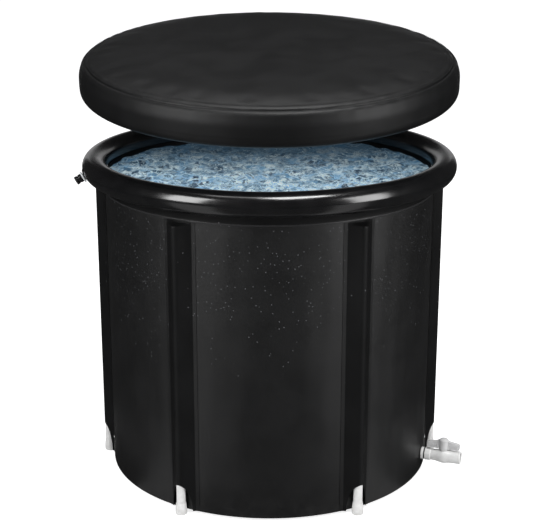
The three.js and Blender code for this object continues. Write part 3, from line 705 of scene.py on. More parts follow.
def make_water():
    """Churned ice water: white crests, blue hollows and fine froth, with painted shade towards the rear where
    the lid shades it, and a painted glow from its own emission.
    """
    material, s, inputs = new_material("ice_water")
    broad = use_group(s, CHURNED_CELLS, Cells_per_metre=58, Crest_width=0.22)
    small = use_group(s, CHURNED_CELLS, Cells_per_metre=125, Crest_width=0.22)
    drift = s.span(s.noise(16, 4, 0.6), 0.36, 0.64)
    fine = s.span(s.noise(260, 3, 0.65), 0.40, 0.64)
    across = s.node("ShaderNodeSeparateXYZ", Vector=s.place()).outputs["Y"]
    hollow = s.math("MULTIPLY", broad["Depth"], s.span(broad["Tone"], 0.1, 0.7, 0.15, 1.0))
    body = s.mix(hollow, (0.15, 0.38, 0.64, 1), (0.006, 0.027, 0.064, 1))
    calm = s.span(s.noise(21, 3, 0.6), 0.44, 0.58, 0.0, 0.75)
    deep = s.mix(calm, body, (0.020, 0.060, 0.105, 1))
    milky = s.mix(s.math("MULTIPLY", drift, 0.30), deep, (0.36, 0.62, 0.82, 1))
    lace = s.math("MULTIPLY", small["Crest"], s.math("MULTIPLY_ADD", drift, 0.45, 0.12))
    laced = s.mix(lace, milky, (0.62, 0.85, 1.0, 1))
    gusts = s.span(s.noise(34, 3, 0.6), 0.40, 0.60, 0.15, 1.0)
    broken = s.math("MULTIPLY", gusts, s.math("MULTIPLY_ADD", fine, 0.5, 0.5))
    crest = s.math("MULTIPLY", broad["Crest"], broken)
    clots = s.noise(64, 5, 0.65, (1, 1 / CELL_STRETCH, 1))
    froth = s.math("MULTIPLY", s.span(clots, 0.515, 0.58), s.math("MULTIPLY_ADD", gusts, 0.80, 0.20))
    foamed = s.mix(s.math("MAXIMUM", crest, froth), laced, (0.76, 0.94, 1.0, 1))
    # Painted shade: the colour darkens towards the rear (+Y) and stands for the lid's shadow on the water.
    shade = s.span(across, -0.16, 0.27, 0.0, 0.93)
    colour = s.mix(shade, foamed, (0.010, 0.026, 0.044, 1))
    s.put(inputs["Base Color"], colour)
    # Painted glow: the water's colour is given again as emission, so it lights itself.
    s.put(inputs["Emission Color"], colour)
    inputs["Emission Strength"].default_value = 0.54
    s.put(inputs["Roughness"], s.span(crest, 0, 1, 0.10, 0.35))
    rough_water = s.math("SUBTRACT", s.math("MULTIPLY_ADD", small["Crest"], 0.4, fine), broad["Depth"])
    s.put(inputs["Normal"], s.bump(rough_water, 0.7, 0.0035))
    inputs["Specular IOR Level"].default_value = 0.3
    return material


WALL_FABRIC = make_laminate(
    "wall_fabric", (0.0040, 0.0041, 0.0043, 1), (0.0052, 0.0053, 0.0056, 1),
    roughness=0.46, gloss_level=0.78, share=1.0, grain_strength=0.35,
)
POCKET_FABRIC = make_laminate(
    "pocket_fabric", (0.0038, 0.0039, 0.0041, 1), (0.0048, 0.0049, 0.0052, 1),
    roughness=0.54, gloss_level=0.26, share=0.15, grain_strength=0.35,
)
LID_FABRIC = make_laminate(
    "lid_fabric", (0.0042, 0.0043, 0.0045, 1), (0.0054, 0.0055, 0.0058, 1),
    roughness=0.44, gloss_level=0.32, share=0.0, grain_strength=0.45,
)
RING_VINYL = make_ring_vinyl()
# Painted highlight: a lighter grey copy of the black vinyl, so the collar's lip and hem bead read as a lit
# line.
WELT_PAINTED_HIGHLIGHT = make_plastic(
    "welt_vinyl_painted_highlight", (0.024, 0.024, 0.025, 1), (0.018, 0.018, 0.019, 1), roughness=0.40
)
LINER_VINYL = make_liner_vinyl()
WHITE_PIPE = make_plastic(
    "white_pipe", (0.77, 0.77, 0.76, 1), (0.71, 0.71, 0.70, 1), roughness=0.34, dusty=0.35
)
LEVER_PLASTIC = make_plastic("lever_plastic", grey(0.62), grey(0.56), roughness=0.42)
SEAT_PLASTIC = make_plastic("seat_plastic", (0.84, 0.83, 0.80, 1), (0.78, 0.77, 0.74, 1), roughness=0.30)
KNOB_PLASTIC = make_plastic("knob_plastic", grey(0.010), (0.016, 0.016, 0.017, 1), roughness=0.26)
BLACK_RUBBER = make_rubber()
CLEAR_VINYL = make_clear_vinyl()
LID_THREAD = make_thread()
ICE_WATER = make_water()


# Tub wall, liner and base

def under_ring(radius):
    """Height of the ring's underside at a radius."""
    return RING_Z - np.sqrt(np.maximum(RING_TUBE**2 - (radius - RING_CENTRE) ** 2, 0))


WALL_TOP = under_ring(BODY_RADIUS + WALL_FLARE) - 2 * FIT


def flare(height):
    """How far the wall leans out under the ring."""
    return WALL_FLARE * np.clip((height - WALL_FLARE_START) / (WALL_TOP - WALL_FLARE_START), 0, 1) ** 2


def between_legs(angle):
    """0 at a leg's pocket, 1 in the open wall between two."""
    nearest = np.abs((angle - LEG_ANGLES[0] + math.pi / 6) % (math.pi / 3) - math.pi / 6)
    return smooth_step(nearest * BODY_RADIUS, POCKET_HALF_WIDTH + POCKET_WELD, WALL_FREE_FROM_LEG)


def off_drain(angle, height):
    """0 where the drain's washers clamp the wall, 1 well away from them."""
    aside = ((angle - DRAIN_ANGLE + math.pi) % (2 * math.pi) - math.pi) * BODY_RADIUS
    return smooth_step(np.hypot(aside, height - drain_pivot.z), DRAIN_CLAMP, 3 * DRAIN_CLAMP)


def drain_hole():
    """Drill for the drain's nipple, through the wall and the liner."""
    radius = NIPPLE_RADIUS + DRILL_ROOM
    return drill(radius, BODY_RADIUS - DRILL_REACH, BODY_RADIUS + DRILL_REACH, 40, DRAIN_PLACE)


def make_wall():
    """Insulated wall with slack in its outer fabric, a turned hem and a flare under the ring."""
    angle = full_turn(480)[None, :]
    straight = np.linspace(HEM_Z, WALL_FLARE_START, 84)
    leaning = np.linspace(WALL_FLARE_START, WALL_TOP, 12)[1:]
    height = np.concatenate([straight, leaning])[:, None]
    slack = ripples(angle, height, seed=3, waves=14, turns=(2, 26), lengths=(0.3, 1.6))
    wave = ripples(angle, height, seed=8, waves=10, turns=(14, 60), lengths=(0.5, 2.5))
    off_hem = smooth_step(height, HEM_Z, HEM_Z + HEM_HOLDS)
    off_collar = 1 - smooth_step(height, COLLAR_Z - COLLAR_HOLDS, COLLAR_Z)
    free = between_legs(angle) * (off_hem * off_collar) * off_drain(angle, height)
    bulge = free * (WALL_SLACK * slack + WALL_WAVE * wave)
    hem_top = HEM_Z + HEM_DEPTH
    hem = HEM_FOLD * (1 - smooth_step(height, hem_top, hem_top + HEM_STEP))
    outside = around(BODY_RADIUS + flare(height) + bulge + hem - HEM_FOLD, height, angle)
    inside_height = np.linspace(WALL_TOP, HEM_Z, 6)[:, None]
    inside = around(BODY_RADIUS + flare(inside_height) - SKIN_AND_FOAM, inside_height, angle)
    wall = new_object("tub_wall", grid(np.concatenate([outside, inside]), True, True))
    cut(wall, drain_hole())
    stands_for = ["outer_skin"] + [f"wall_foam_{number}" for number in range(1, 7)]
    return dress(wall, WALL_FABRIC, stands_for=stands_for)


def make_liner():
    """Inner fabric: a floor turned up into the wall, slack in long soft folds."""
    angle = full_turn(360)[None, :]
    outer = BODY_RADIUS - LINER_DEPTH
    inner = outer - LINER
    floor_top = LINER_FLOOR_Z + LINER
    top = under_ring(outer + WALL_FLARE) - 2 * FIT
    corner = arc((inner - FLOOR_CORNER, floor_top + FLOOR_CORNER), FLOOR_CORNER, 0, -90, 4)
    rise = np.linspace(top, floor_top + FLOOR_CORNER, 60)[:-1]
    inside = [(inner + flare(z), z) for z in rise] + corner + [(r, floor_top) for r in FLOOR_ROWS]
    outside = [(0, LINER_FLOOR_Z), (outer - FLOOR_CORNER, LINER_FLOOR_Z)]
    outside += arc((outer - FLOOR_CORNER, LINER_FLOOR_Z + FLOOR_CORNER), FLOOR_CORNER, -90, 0, 4)[1:]
    outside += [(outer + flare(z), z) for z in np.linspace(WALL_FLARE_START, top, 8)]
    profile = np.array(outside + inside)
    radius, height = profile[:, :1], profile[:, 1:]
    shown = (np.arange(len(profile)) >= len(outside))[:, None]
    off_floor = smooth_step(height, floor_top + LINER_FREE_FROM, LINER_FREE_Z)
    wall_part = off_floor * (1 - smooth_step(height, top - RING_HOLDS_LINER, top))
    loose = ripples(angle, height, seed=21, waves=16, turns=(3, 40), lengths=(0.2, 1.2))
    folds = LINER_FOLD * loose - LINER_SLACK
    clamped = off_drain(angle, height)
    folds = folds * clamped - LINER_DRAWN_IN * (1 - clamped)
    points = around(radius + shown * wall_part * folds, height, angle)
    liner = new_object("tub_liner", grid(points, True, True))
    cut(liner, drain_hole())
    return dress(liner, LINER_VINYL, stands_for=["inner_liner"])


def make_base():
    """Underside: a flat padded panel that rises to the wall's hem."""
    base_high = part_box("base_panel")[1]
    edge = base_high.x
    flat = edge - BASE_SLOPE
    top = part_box("base_foam")[1].z
    outline = [(0, 0), (flat, 0), (edge, HEM_Z), (edge, base_high.z), (edge - BASE_EDGE, base_high.z)]
    outline += [(edge - BASE_CORNER, top), (0, top)]
    profile = rounded(outline, BASE_CORNER, 4, closed=False)
    base = new_object("tub_base", turned(profile, 240, ring=False))
    return dress(base, WALL_FABRIC, stands_for=["base_panel", "base_foam"])


# Inflated ring, its collar and welt

def make_ring():
    """Inflated tube, pulled in by small puckers along its inner and lower sides."""
    angle = full_turn(420)[None, :]
    turn = full_turn(64)[:, None]
    pulled = 0.5 - 0.5 * np.cos(turn - math.radians(40))
    along = RING_TUBE * turn
    puckers = ripples(angle, along, seed=5, waves=18, turns=(40, 120), lengths=(0.05, 0.2))
    swell = ripples(angle, along, seed=6, waves=8, turns=(2, 9), lengths=(0.2, 0.9))
    tube = RING_TUBE - RING_INSET + RING_PUCKER * pulled * puckers + RING_SWELL * swell
    points = around(RING_CENTRE + tube * np.cos(turn), RING_Z + tube * np.sin(turn), angle)
    ring = new_object("inflated_ring", grid(points, True, True))
    cut(ring, drill(AIR_STEM + FIT, RING_TUBE / 2, 2 * RING_TUBE, 32, AIR_PLACE))
    return dress(ring, RING_VINYL, stands_for=["air_ring"])


def make_collar():
    """Vinyl collar over the top of the wall, with a welded lip where it meets the ring; the lip and the hem's
    bead are painted a lighter grey as a highlight.
    """
    lip_low = under_ring(BODY_RADIUS + LIP_FROM_WALL) - LIP_DROP
    lip_high = lip_low + LIP_THICK
    face = [(BODY_RADIUS + FIT + COLLAR_CLOTH + flare(z), z) for z in np.linspace(COLLAR_Z, lip_low, 10)]
    lip = face[-1][0] + LIP_WIDTH
    back = [(BODY_RADIUS + FIT + flare(z), z) for z in np.linspace(lip_high, COLLAR_Z, 10)]
    hem = face[0][0]
    proud = hem + COLLAR_BEAD
    piping = [(hem, COLLAR_Z), (proud, COLLAR_Z), (proud, COLLAR_Z + PIPING_HEIGHT)]
    outline = piping + face[2:-1] + [(face[-1][0], lip_low), (lip, lip_low), (lip, lip_high)] + back
    profile = rounded(outline, 0.0010, 4)
    collar = new_object("ring_collar_band", turned(profile, 420))
    dress(collar, POCKET_FABRIC, stands_for=["ring_collar"])
    middles = [polygon.center for polygon in collar.data.polygons]
    # The lip and the hem's bead get the painted highlight finish.
    second_finish(collar, WELT_PAINTED_HIGHLIGHT, [at.xy.length > hem + flare(at.z) + COLLAR_BEAD / 2 for at in middles])
    return collar


# Legs: pocket, rod and foot

def pocket_outline(lift):
    """Cross-section of a pocket's face: flat weld, taut flap, round over the rod, and back."""
    rod_out = ROD_CIRCLE - BODY_RADIUS
    round_over = ROD_RADIUS + FIT + lift

    def wall(x):
        return math.sqrt(BODY_RADIUS**2 - x * x) - BODY_RADIUS + FIT + lift

    weld = (POCKET_HALF_WIDTH, wall(POCKET_HALF_WIDTH))
    reach = math.hypot(weld[0], weld[1] - rod_out)
    leaves = math.atan2(weld[1] - rod_out, weld[0]) + math.acos(round_over / reach)
    touch = (round_over * math.cos(leaves), rod_out + round_over * math.sin(leaves))
    margin = [(x, wall(x)) for x in np.linspace(POCKET_HALF_WIDTH + POCKET_WELD, POCKET_HALF_WIDTH, 5)]
    flap = [tuple(np.array(weld) * (1 - t) + np.array(touch) * t) for t in np.linspace(0, 1, 12)[1:-1]]
    over = arc((0, rod_out), round_over, math.degrees(leaves), 90, 8)
    half = margin + flap + over
    return np.array(half + [(-x, y) for x, y in half[-2::-1]])


def foot_notch():
    """Arched opening through which the rod's foot shows."""
    half = NOTCH_HALF_WIDTH
    rise = NOTCH_TOP - HEM_Z
    arch = [(-half, -0.01), (half, -0.01)]
    arch += [(half * x, HEM_Z + rise * z) for x, z in arc((0, 0), 1, 0, 180, 32)]
    reach = ROD_CIRCLE + 2 * FOOT_RADIUS
    return moved(prism(arch, BODY_RADIUS / 2, reach), Matrix.Rotation(math.pi / 2, 4, "X"))


def make_pocket(number):
    """Strip welded down both sides of a rod, closed flat at its top and notched at its foot."""
    heights = np.concatenate([
        np.linspace(HEM_Z, POCKET_TOP - POCKET_CLOSING, 120),
        np.linspace(POCKET_TOP - POCKET_CLOSING, POCKET_TOP, 14)[1:],
    ])[:, None]
    closing = smooth_step(heights, POCKET_TOP - POCKET_CLOSING, POCKET_TOP)
    fullness = 1 - (1 - POCKET_CLOSED_SHARE) * closing
    faces = []
    for lift in (POCKET_CLOTH, 0):
        x, out = pocket_outline(lift).T
        flat = np.sqrt(BODY_RADIUS**2 - x**2) - BODY_RADIUS + FIT + lift
        over_flap = np.clip((POCKET_HALF_WIDTH - np.abs(x)) / (POCKET_HALF_WIDTH - ROD_RADIUS), 0, 1)
        slack = np.sin(math.pi * over_flap)
        flap_side = 12 * np.sign(x)
        seed = 40 + number
        creases = ripples(flap_side, heights, seed, waves=9, turns=(1, 5), lengths=(0.035, 0.22))
        gather = 0.35 + 1.2 * smooth_step(heights, POCKET_TOP - 0.12, POCKET_TOP - POCKET_CLOSING)
        fold = CREASE_DEPTH * slack * (creases - 1.5) * gather
        on_weld = smooth_step(np.abs(x), POCKET_HALF_WIDTH, POCKET_HALF_WIDTH + POCKET_WELD)
        pressed = WELD_PRESSED * lift * on_weld
        radius = BODY_RADIUS + flat + (out - flat) * fullness + fold * fullness - pressed
        faces.append(np.stack(np.broadcast_arrays(x, -radius, heights), axis=-1))
    front, back = faces
    section = np.concatenate([front, back[:, ::-1]], axis=1)
    points, quads = grid(section[:, ::-1], False, True)
    columns = section.shape[1]
    half = columns // 2
    last = (len(heights) - 1) * columns
    for first, turn in ((0, 1), (last, -1)):
        for i in range(half - 1):
            quads.append([first + i, first + i + 1, first + columns - 2 - i, first + columns - 1 - i][::turn])
    pocket = new_object(f"rod_pocket_{number}", (points, quads))
    cut(pocket, foot_notch())
    welded = [abs(face.center.x) > POCKET_HALF_WIDTH for face in pocket.data.polygons]
    pocket.data.transform(Matrix.Rotation(LEG_ANGLES[number - 1], 4, "Z"))
    dress(pocket, POCKET_FABRIC, stands_for=[f"leg_pocket_{number}"], crease=50)
    second_finish(pocket, WALL_FABRIC, welded)
    return pocket


def on_leg(shape, number):
    place = Matrix.Rotation(LEG_ANGLES[number - 1], 4, "Z") @ Matrix.Translation((0, -ROD_CIRCLE, 0))
    return moved(shape, place)


def make_rod(number):
    """Length of pipe with its cut ends eased."""
    bore = ROD_RADIUS - PIPE_WALL
    outline = [(bore, rod_low.z), (ROD_RADIUS, rod_low.z), (ROD_RADIUS, rod_high.z), (bore, rod_high.z)]
    shape = turned(rounded(outline, 0.0005, 3), 48)
    rod = new_object(f"pipe_rod_{number}", on_leg(shape, number))
    return dress(rod, WHITE_PIPE, stands_for=[f"support_rod_{number}"])


def make_foot(number):
    """Pipe cap: soft bottom edge, and a taper up to a thin lip on the pipe."""
    top = foot_high.z
    bore = ROD_RADIUS + FIT
    lip = bore + FOOT_LIP
    outside = [(0, 0), (FOOT_RADIUS, 0), (FOOT_RADIUS, 0.4 * top), (lip + 0.0006, 0.85 * top), (lip, top)]
    rim = [(bore, top), (bore, FOOT_FLOOR), (0, FOOT_FLOOR)]
    profile = rounded(outside + rim, 0.0026, 5, closed=False)
    foot = new_object(f"pipe_cap_{number}", on_leg(turned(profile, 48, ring=False), number))
    return dress(foot, WHITE_PIPE, stands_for=[f"rod_foot_{number}"])


# Drain fitting and ball valve, along -Y of the drain's own frame

def reach_of(node, place=DRAIN_PLACE):
    """Where a fitting's node starts and ends, measured outwards from its place, and its radius."""
    low, high = local_box(node, place)
    return -high.y, -low.y, high.x


def in_drain(shape):
    return moved(outwards(shape), DRAIN_PLACE)


def ring_shape(inner, outer, start, end, edge, sides=64):
    return turned(rounded([(inner, start), (outer, start), (outer, end), (inner, end)], edge, 3), sides)


def make_bulkhead():
    """Flanged nipple that passes through the wall."""
    start, end, flange = reach_of("drain_bulkhead")
    face = start + FLANGE
    outline = [(WATERWAY, start), (flange, start), (flange, face), (NIPPLE_RADIUS, face)]
    outline += [(NIPPLE_RADIUS, end), (WATERWAY, end)]
    bulkhead = new_object("drain_nipple", in_drain(turned(rounded(outline, 0.0012, 4), 64)))
    return dress(bulkhead, WHITE_PIPE, stands_for=["drain_bulkhead"])


def make_drain_ring(node, name, finish, edge):
    start, end, radius = reach_of(node)
    made = new_object(name, in_drain(ring_shape(NIPPLE_RADIUS + FIT, radius, start, end, edge)))
    return dress(made, finish, stands_for=[node])


def make_valve_body():
    """Valve casting: eight-sided nut, neck, swelling round the ball, outlet socket and bonnet."""
    start, end, bulb = reach_of("valve_body")
    cavity = reach_of("valve_seat_inlet")[0] - FIT
    bore = reach_of("valve_retainer")[2] + FIT
    outer = bore + VALVE_WALL
    neck = outer - NECK_STEP
    bead = outer + OUTLET_BEAD
    nut_end = start + NUT_LENGTH
    socket_from = start + SOCKET_FROM
    socket_to = start + SOCKET_TO
    socket = NIPPLE_RADIUS + FIT
    run = np.linspace(nut_end, end - 0.006, 22)
    swell = (bulb - outer) * np.exp(-(((run - BALL_AT) / SWELL_REACH) ** 2))
    narrow = (outer - neck) * (1 - smooth_step(run, nut_end, BALL_AT - 0.004))
    outside = [(neck, socket_from)] + list(zip(outer + swell - narrow, run))
    outside += [(outer, end - 0.0045), (bead, end - 0.0036), (bead, end)]
    inside = [(bore, end), (bore, cavity), (WATERWAY, cavity), (WATERWAY, socket_to)]
    inside += [(socket, socket_to), (socket, socket_from)]
    casting = turned(rounded(outside + inside, 0.0012, 3), 72)
    corner = outer + NUT_CORNER
    corners = [(corner * math.cos(a), corner * math.sin(a)) for a in full_turn(8) + math.pi / 8]
    nut = new_object("nut_blank", outwards(prism(rounded(corners, 0.0016, 3), start, nut_end)))
    cut(nut, drill(socket, 0, 2 * end, 64, Matrix.Identity(4)))
    nut_shape = points_of(nut), [list(face.vertices) for face in nut.data.polygons]
    remove(nut)
    foot = outer - 0.002
    post = [(0, foot), (BONNET_RADIUS, foot), (BONNET_RADIUS, BONNET_TOP), (0, BONNET_TOP)]
    bonnet = turned(rounded(post, 0.001, 3, closed=False), 48, False)
    bonnet = moved(bonnet, Matrix.Translation((0, -BALL_AT, 0)))
    body = new_object("valve_casting", together(outwards(casting), nut_shape, bonnet))
    fuse(body, voxel=0.0007, passes=5)
    body.data.transform(DRAIN_PLACE)
    return dress(body, WHITE_PIPE, stands_for=["valve_body"], crease=60)


def make_lever():
    """Lever: domed hub over the bonnet, and two wings along the pipe with grip ribs near their ends."""
    low, high = local_box("valve_handle", DRAIN_PLACE)
    half_length = (high.y - low.y) / 2
    bottom, top, hub = low.z, high.z, high.x
    roof = BONNET_TOP + LEVER_GAP
    skirt = hub - HUB_WALL
    wing_top = top - WING_DROP
    thick = WING_HALF_THICK
    crown = hub / 2
    dome = [(hub * math.cos(a), top - crown + crown * math.sin(a)) for a in np.linspace(0, math.pi / 2, 10)]
    shapes = [turned([(skirt, bottom), (hub, bottom)] + dome + [(0, roof), (skirt, roof)], 56)]
    root = hub - 0.001
    side = [(root, bottom), (half_length, bottom), (half_length, wing_top - 0.0035)]
    side += [(1.35 * hub, wing_top), (root, top - 0.0040)]
    wing = prism(rounded(side, 0.005, 6), -thick, thick)
    upright = Matrix(((0, 0, 1, 0), (1, 0, 0, 0), (0, 1, 0, 0), (0, 0, 0, 1)))
    rib_low = bottom + 0.005
    rib_high = wing_top - 0.007
    rib_side = [(0, rib_low), (GRIP_RIB, rib_low), (GRIP_RIB, rib_high), (0, rib_high)]
    rib = turned(rounded(rib_side, 0.0008, 2, closed=False), 12, False)
    for turn in (0, math.pi):
        swing = Matrix.Rotation(turn, 4, "Z")
        shapes.append(moved(wing, swing @ upright))
        for step in range(GRIP_RIBS):
            along = half_length - GRIP_FROM_END - GRIP_PITCH * step
            shapes += [moved(rib, swing @ Matrix.Translation((face * thick, along, 0))) for face in (-1, 1)]
    lever = new_object("drain_lever_handle", together(*shapes))
    fuse(lever, voxel=0.0005, passes=4)
    lever.data.transform(DRAIN_PLACE @ Matrix.Translation((0, -BALL_AT, 0)))
    return dress(lever, LEVER_PLASTIC, "drain_lever", ["valve_handle"], crease=60)


# Air valve on the ring

def make_air_patch():
    """Round patch welded over the ring where the valve comes through."""
    _, _, radius = reach_of("air_valve_patch", AIR_PLACE)
    turn = full_turn(72)[None, :]
    hole = AIR_STEM + FIT
    top = PATCH_LIFT
    edge = [(radius - 0.002, top), (radius - 0.0004, 0.6 * top), (radius, FIT)]
    rows = np.array([(hole, FIT), (hole, top)] + edge)
    spread, lift = rows[:, :1], rows[:, 1:]
    x = spread * np.cos(turn)
    z = spread * np.sin(turn)
    out = np.sqrt((RING_TUBE + lift) ** 2 - z**2) - x**2 / (2 * (RING_CENTRE + RING_TUBE))
    points = np.stack(np.broadcast_arrays(x, -out, z), axis=-1)
    patch = new_object("air_patch", moved(grid(points, True, True), AIR_PLACE))
    return dress(patch, RING_VINYL, stands_for=["air_valve_patch"])


def make_air_stem():
    """Soft clear stem with a wide collar."""
    start, end, collar = reach_of("air_valve_stem", AIR_PLACE)
    collar_from = end - AIR_COLLAR
    outline = [(AIR_BORE, start), (AIR_STEM, start), (AIR_STEM, collar_from), (collar, collar_from)]
    outline += [(collar, end), (AIR_BORE, end)]
    stem = new_object("air_stem", moved(outwards(turned(rounded(outline, 0.0009, 4), 64)), AIR_PLACE))
    return dress(stem, CLEAR_VINYL, stands_for=["air_valve_stem"])


def make_air_plug():
    """Push-in plug with a fluted knob."""
    start, end, knob = reach_of("air_valve_plug", AIR_PLACE)
    knob_from = reach_of("air_valve_stem", AIR_PLACE)[1] + FIT
    shank = AIR_BORE - FIT
    waist = (knob_from + end) / 2
    groove = knob - PLUG_GROOVE
    dimple = end - PLUG_DIMPLE
    turn = full_turn(160)[None, :]
    outline = [(0, start), (shank, start), (shank, knob_from), (knob, knob_from), (knob, waist - 0.0012)]
    outline += [(groove, waist - 0.0008), (groove, waist + 0.0008), (knob, waist + 0.0012)]
    outline += [(knob, end), (0.55 * knob, end), (0.5 * knob, dimple), (0, dimple)]
    profile = rounded(outline, 0.0012, 4, closed=False)
    radius, height = profile[:, :1], profile[:, 1:]
    depth = FLUTE_DEPTH * smooth_step(radius, 0.7 * knob, knob)
    notch = depth * smooth_step(np.cos(PLUG_FLUTES * turn), 0.1, 0.7)
    plug = new_object("air_plug_knob", outwards(grid(around(radius - notch, height, turn), False, True)))
    plug.data.transform(AIR_PLACE)
    return dress(plug, KNOB_PLASTIC, "air_plug", ["air_valve_plug"], crease=50)


# Padded lid

LID_SHOULDER_X = LID_RADIUS - LID_SHOULDER
LID_SHOULDER_Z = LID_HEIGHT - LID_SHOULDER


def lid_profile():
    """Outline of the lid's cover from the middle of the underside to the middle of the top."""
    under = [(r, 0) for r in np.linspace(0, LID_RADIUS - LID_LOWER_EDGE, 9)]
    edge = arc((LID_RADIUS - LID_LOWER_EDGE, LID_LOWER_EDGE), LID_LOWER_EDGE, -90, 0, 6)[1:]
    band = [(LID_RADIUS, z) for z in np.linspace(LID_LOWER_EDGE, LID_SHOULDER_Z, 4)[1:]]
    seam = math.degrees(LID_SEAM_ANGLE)
    centre = (LID_SHOULDER_X, LID_SHOULDER_Z)
    lower = arc(centre, LID_SHOULDER, 0, seam, 8)[1:]
    upper = arc(centre, LID_SHOULDER, seam, 90, 7)[1:]
    shares = np.array([0.96, 0.90, 0.80, 0.68, 0.55, 0.41, 0.27, 0.13, 0.0])
    crown = [(LID_SHOULDER_X * share, LID_HEIGHT + LID_CROWN * (1 - share**2)) for share in shares]
    return np.array(under + edge + band + lower + upper + crown)


def puff(cover, held, limit):
    """Lets the cover's cloth swell under the filling's pressure, held along its seams, up to a limit."""
    still = points_of(cover)
    pins = cover.vertex_groups.new(name="held")
    pins.add([int(index) for index in np.nonzero(held)[0]], 1.0, "REPLACE")
    cloth = cover.modifiers.new("puff", "CLOTH")
    cloth.settings.vertex_group_mass = "held"
    cloth.settings.use_pressure = True
    cloth.settings.uniform_pressure_force = 2.5
    cloth.settings.effector_weights.gravity = 0
    cloth.settings.tension_stiffness = 40
    cloth.settings.compression_stiffness = 40
    cloth.settings.bending_stiffness = 4
    cloth.settings.quality = 6
    cloth.collision_settings.use_collision = False
    scene = bpy.context.scene
    for step in range(1, 21):
        scene.frame_set(step)
    graph = bpy.context.evaluated_depsgraph_get()
    swollen = points_of(cover.evaluated_get(graph))
    cover.modifiers.clear()
    cover.vertex_groups.clear()
    scene.frame_set(1)
    shift = swollen - still
    length = np.linalg.norm(shift, axis=1, keepdims=True)
    shift *= np.minimum(1, limit / np.maximum(length, 1e-9))
    put_points(cover, still + shift)


def work_seam(cover):
    """Presses in the seam on the shoulder, with puckers fanning from it and slack across the top."""
    points = points_of(cover)
    normals = np.array([normal.vector for normal in cover.data.vertex_normals])
    radius = np.hypot(points[:, 0], points[:, 1])
    angle = np.arctan2(points[:, 0], -points[:, 1])
    slope = np.arctan2(points[:, 2] - LID_SHOULDER_Z, radius - LID_SHOULDER_X)
    from_seam = np.where(
        radius > LID_SHOULDER_X,
        (slope - LID_SEAM_ANGLE) * LID_SHOULDER,
        (math.pi / 2 - LID_SEAM_ANGLE) * LID_SHOULDER + LID_SHOULDER_X - radius,
    )
    upper = points[:, 2] > LID_SHOULDER_Z - 0.02
    groove = -SEAM_GROOVE * np.exp(-((from_seam / SEAM_WIDTH) ** 2))
    from_pillow = (np.abs(from_seam) - PILLOW_FROM_SEAM) / PILLOW_WIDTH
    pillow = SEAM_PILLOW * np.exp(-(from_pillow**2))
    gathers = ripples(angle, from_seam, seed=12, waves=22, turns=(18, 84), lengths=(0.15, 0.6))
    uneven = ripples(angle, 0, seed=17, waves=5, turns=(2, 9), lengths=(1, 2))
    drift = smooth_step(uneven, -0.4, 1.2)
    puckers = SEAM_PUCKER * gathers * (0.35 + drift) * np.exp(-np.abs(from_seam) / PUCKER_REACH)
    loose = ripples(angle, radius, seed=31, waves=12, turns=(1, 6), lengths=(0.16, 0.6))
    slack = LID_SLACK * loose * smooth_step(radius, 0.02, 0.2)
    push = upper * (groove + pillow + puckers + slack)
    put_points(cover, points + normals * push[:, None])


def make_lid():
    """Padded lid: cover swollen by its filling, sewn on the shoulder."""
    profile = lid_profile()
    lid = new_object("padded_lid", turned(profile, 112, ring=False))
    points = points_of(lid)
    radius = np.hypot(points[:, 0], points[:, 1])
    seam_z = LID_SHOULDER_Z + LID_SHOULDER * math.sin(LID_SEAM_ANGLE)
    on_seam = (np.abs(points[:, 2] - seam_z) < 0.0005) & (radius > LID_SHOULDER_X)
    puff(lid, on_seam | (points[:, 2] < LID_LOWER_EDGE / 2), LID_SWELL_LIMIT)
    rounder = lid.modifiers.new("round", "SUBSURF")
    rounder.levels = 2
    rounder.render_levels = 2
    settle(lid)
    work_seam(lid)
    lid.data.transform(LID_PLACE)
    return dress(lid, LID_FABRIC, body="lid", crease=80,
                 stands_for=["lid_top_panel", "lid_side_band", "lid_base_panel", "lid_core"])


# Geometry Nodes: stitches along the lid's seam

class Tree(Nodes):
    """Builds a Geometry Nodes tree with named inputs."""

    def __init__(self, name, inputs):
        super().__init__(bpy.data.node_groups.new(name, "GeometryNodeTree"))
        self.tree.interface.new_socket("Geometry", in_out="INPUT", socket_type="NodeSocketGeometry")
        self.sockets = {}
        for label, (kind, value) in inputs.items():
            socket = self.tree.interface.new_socket(label, in_out="INPUT", socket_type=kind)
            self.sockets[label] = (socket.identifier, value)
        self.tree.interface.new_socket("Geometry", in_out="OUTPUT", socket_type="NodeSocketGeometry")
        self.entry = self.tree.nodes.new("NodeGroupInput").outputs
        self.leave = self.tree.nodes.new("NodeGroupOutput").inputs

    def end(self, instances):
        """Realizes the instances and gives them the material input."""
        real = self.node("GeometryNodeRealizeInstances", Geometry=instances).outputs["Geometry"]
        final = self.node("GeometryNodeSetMaterial", Geometry=real, Material=self.entry["Material"])
        self.put(self.leave["Geometry"], final.outputs["Geometry"])

    def run(self, made):
        """Puts the tree on an object and leaves its result as a plain mesh."""
        modifier = made.modifiers.new(self.tree.name, "NODES")
        modifier.node_group = self.tree
        for identifier, value in self.sockets.values():
            modifier[identifier] = value
        return settle(made)


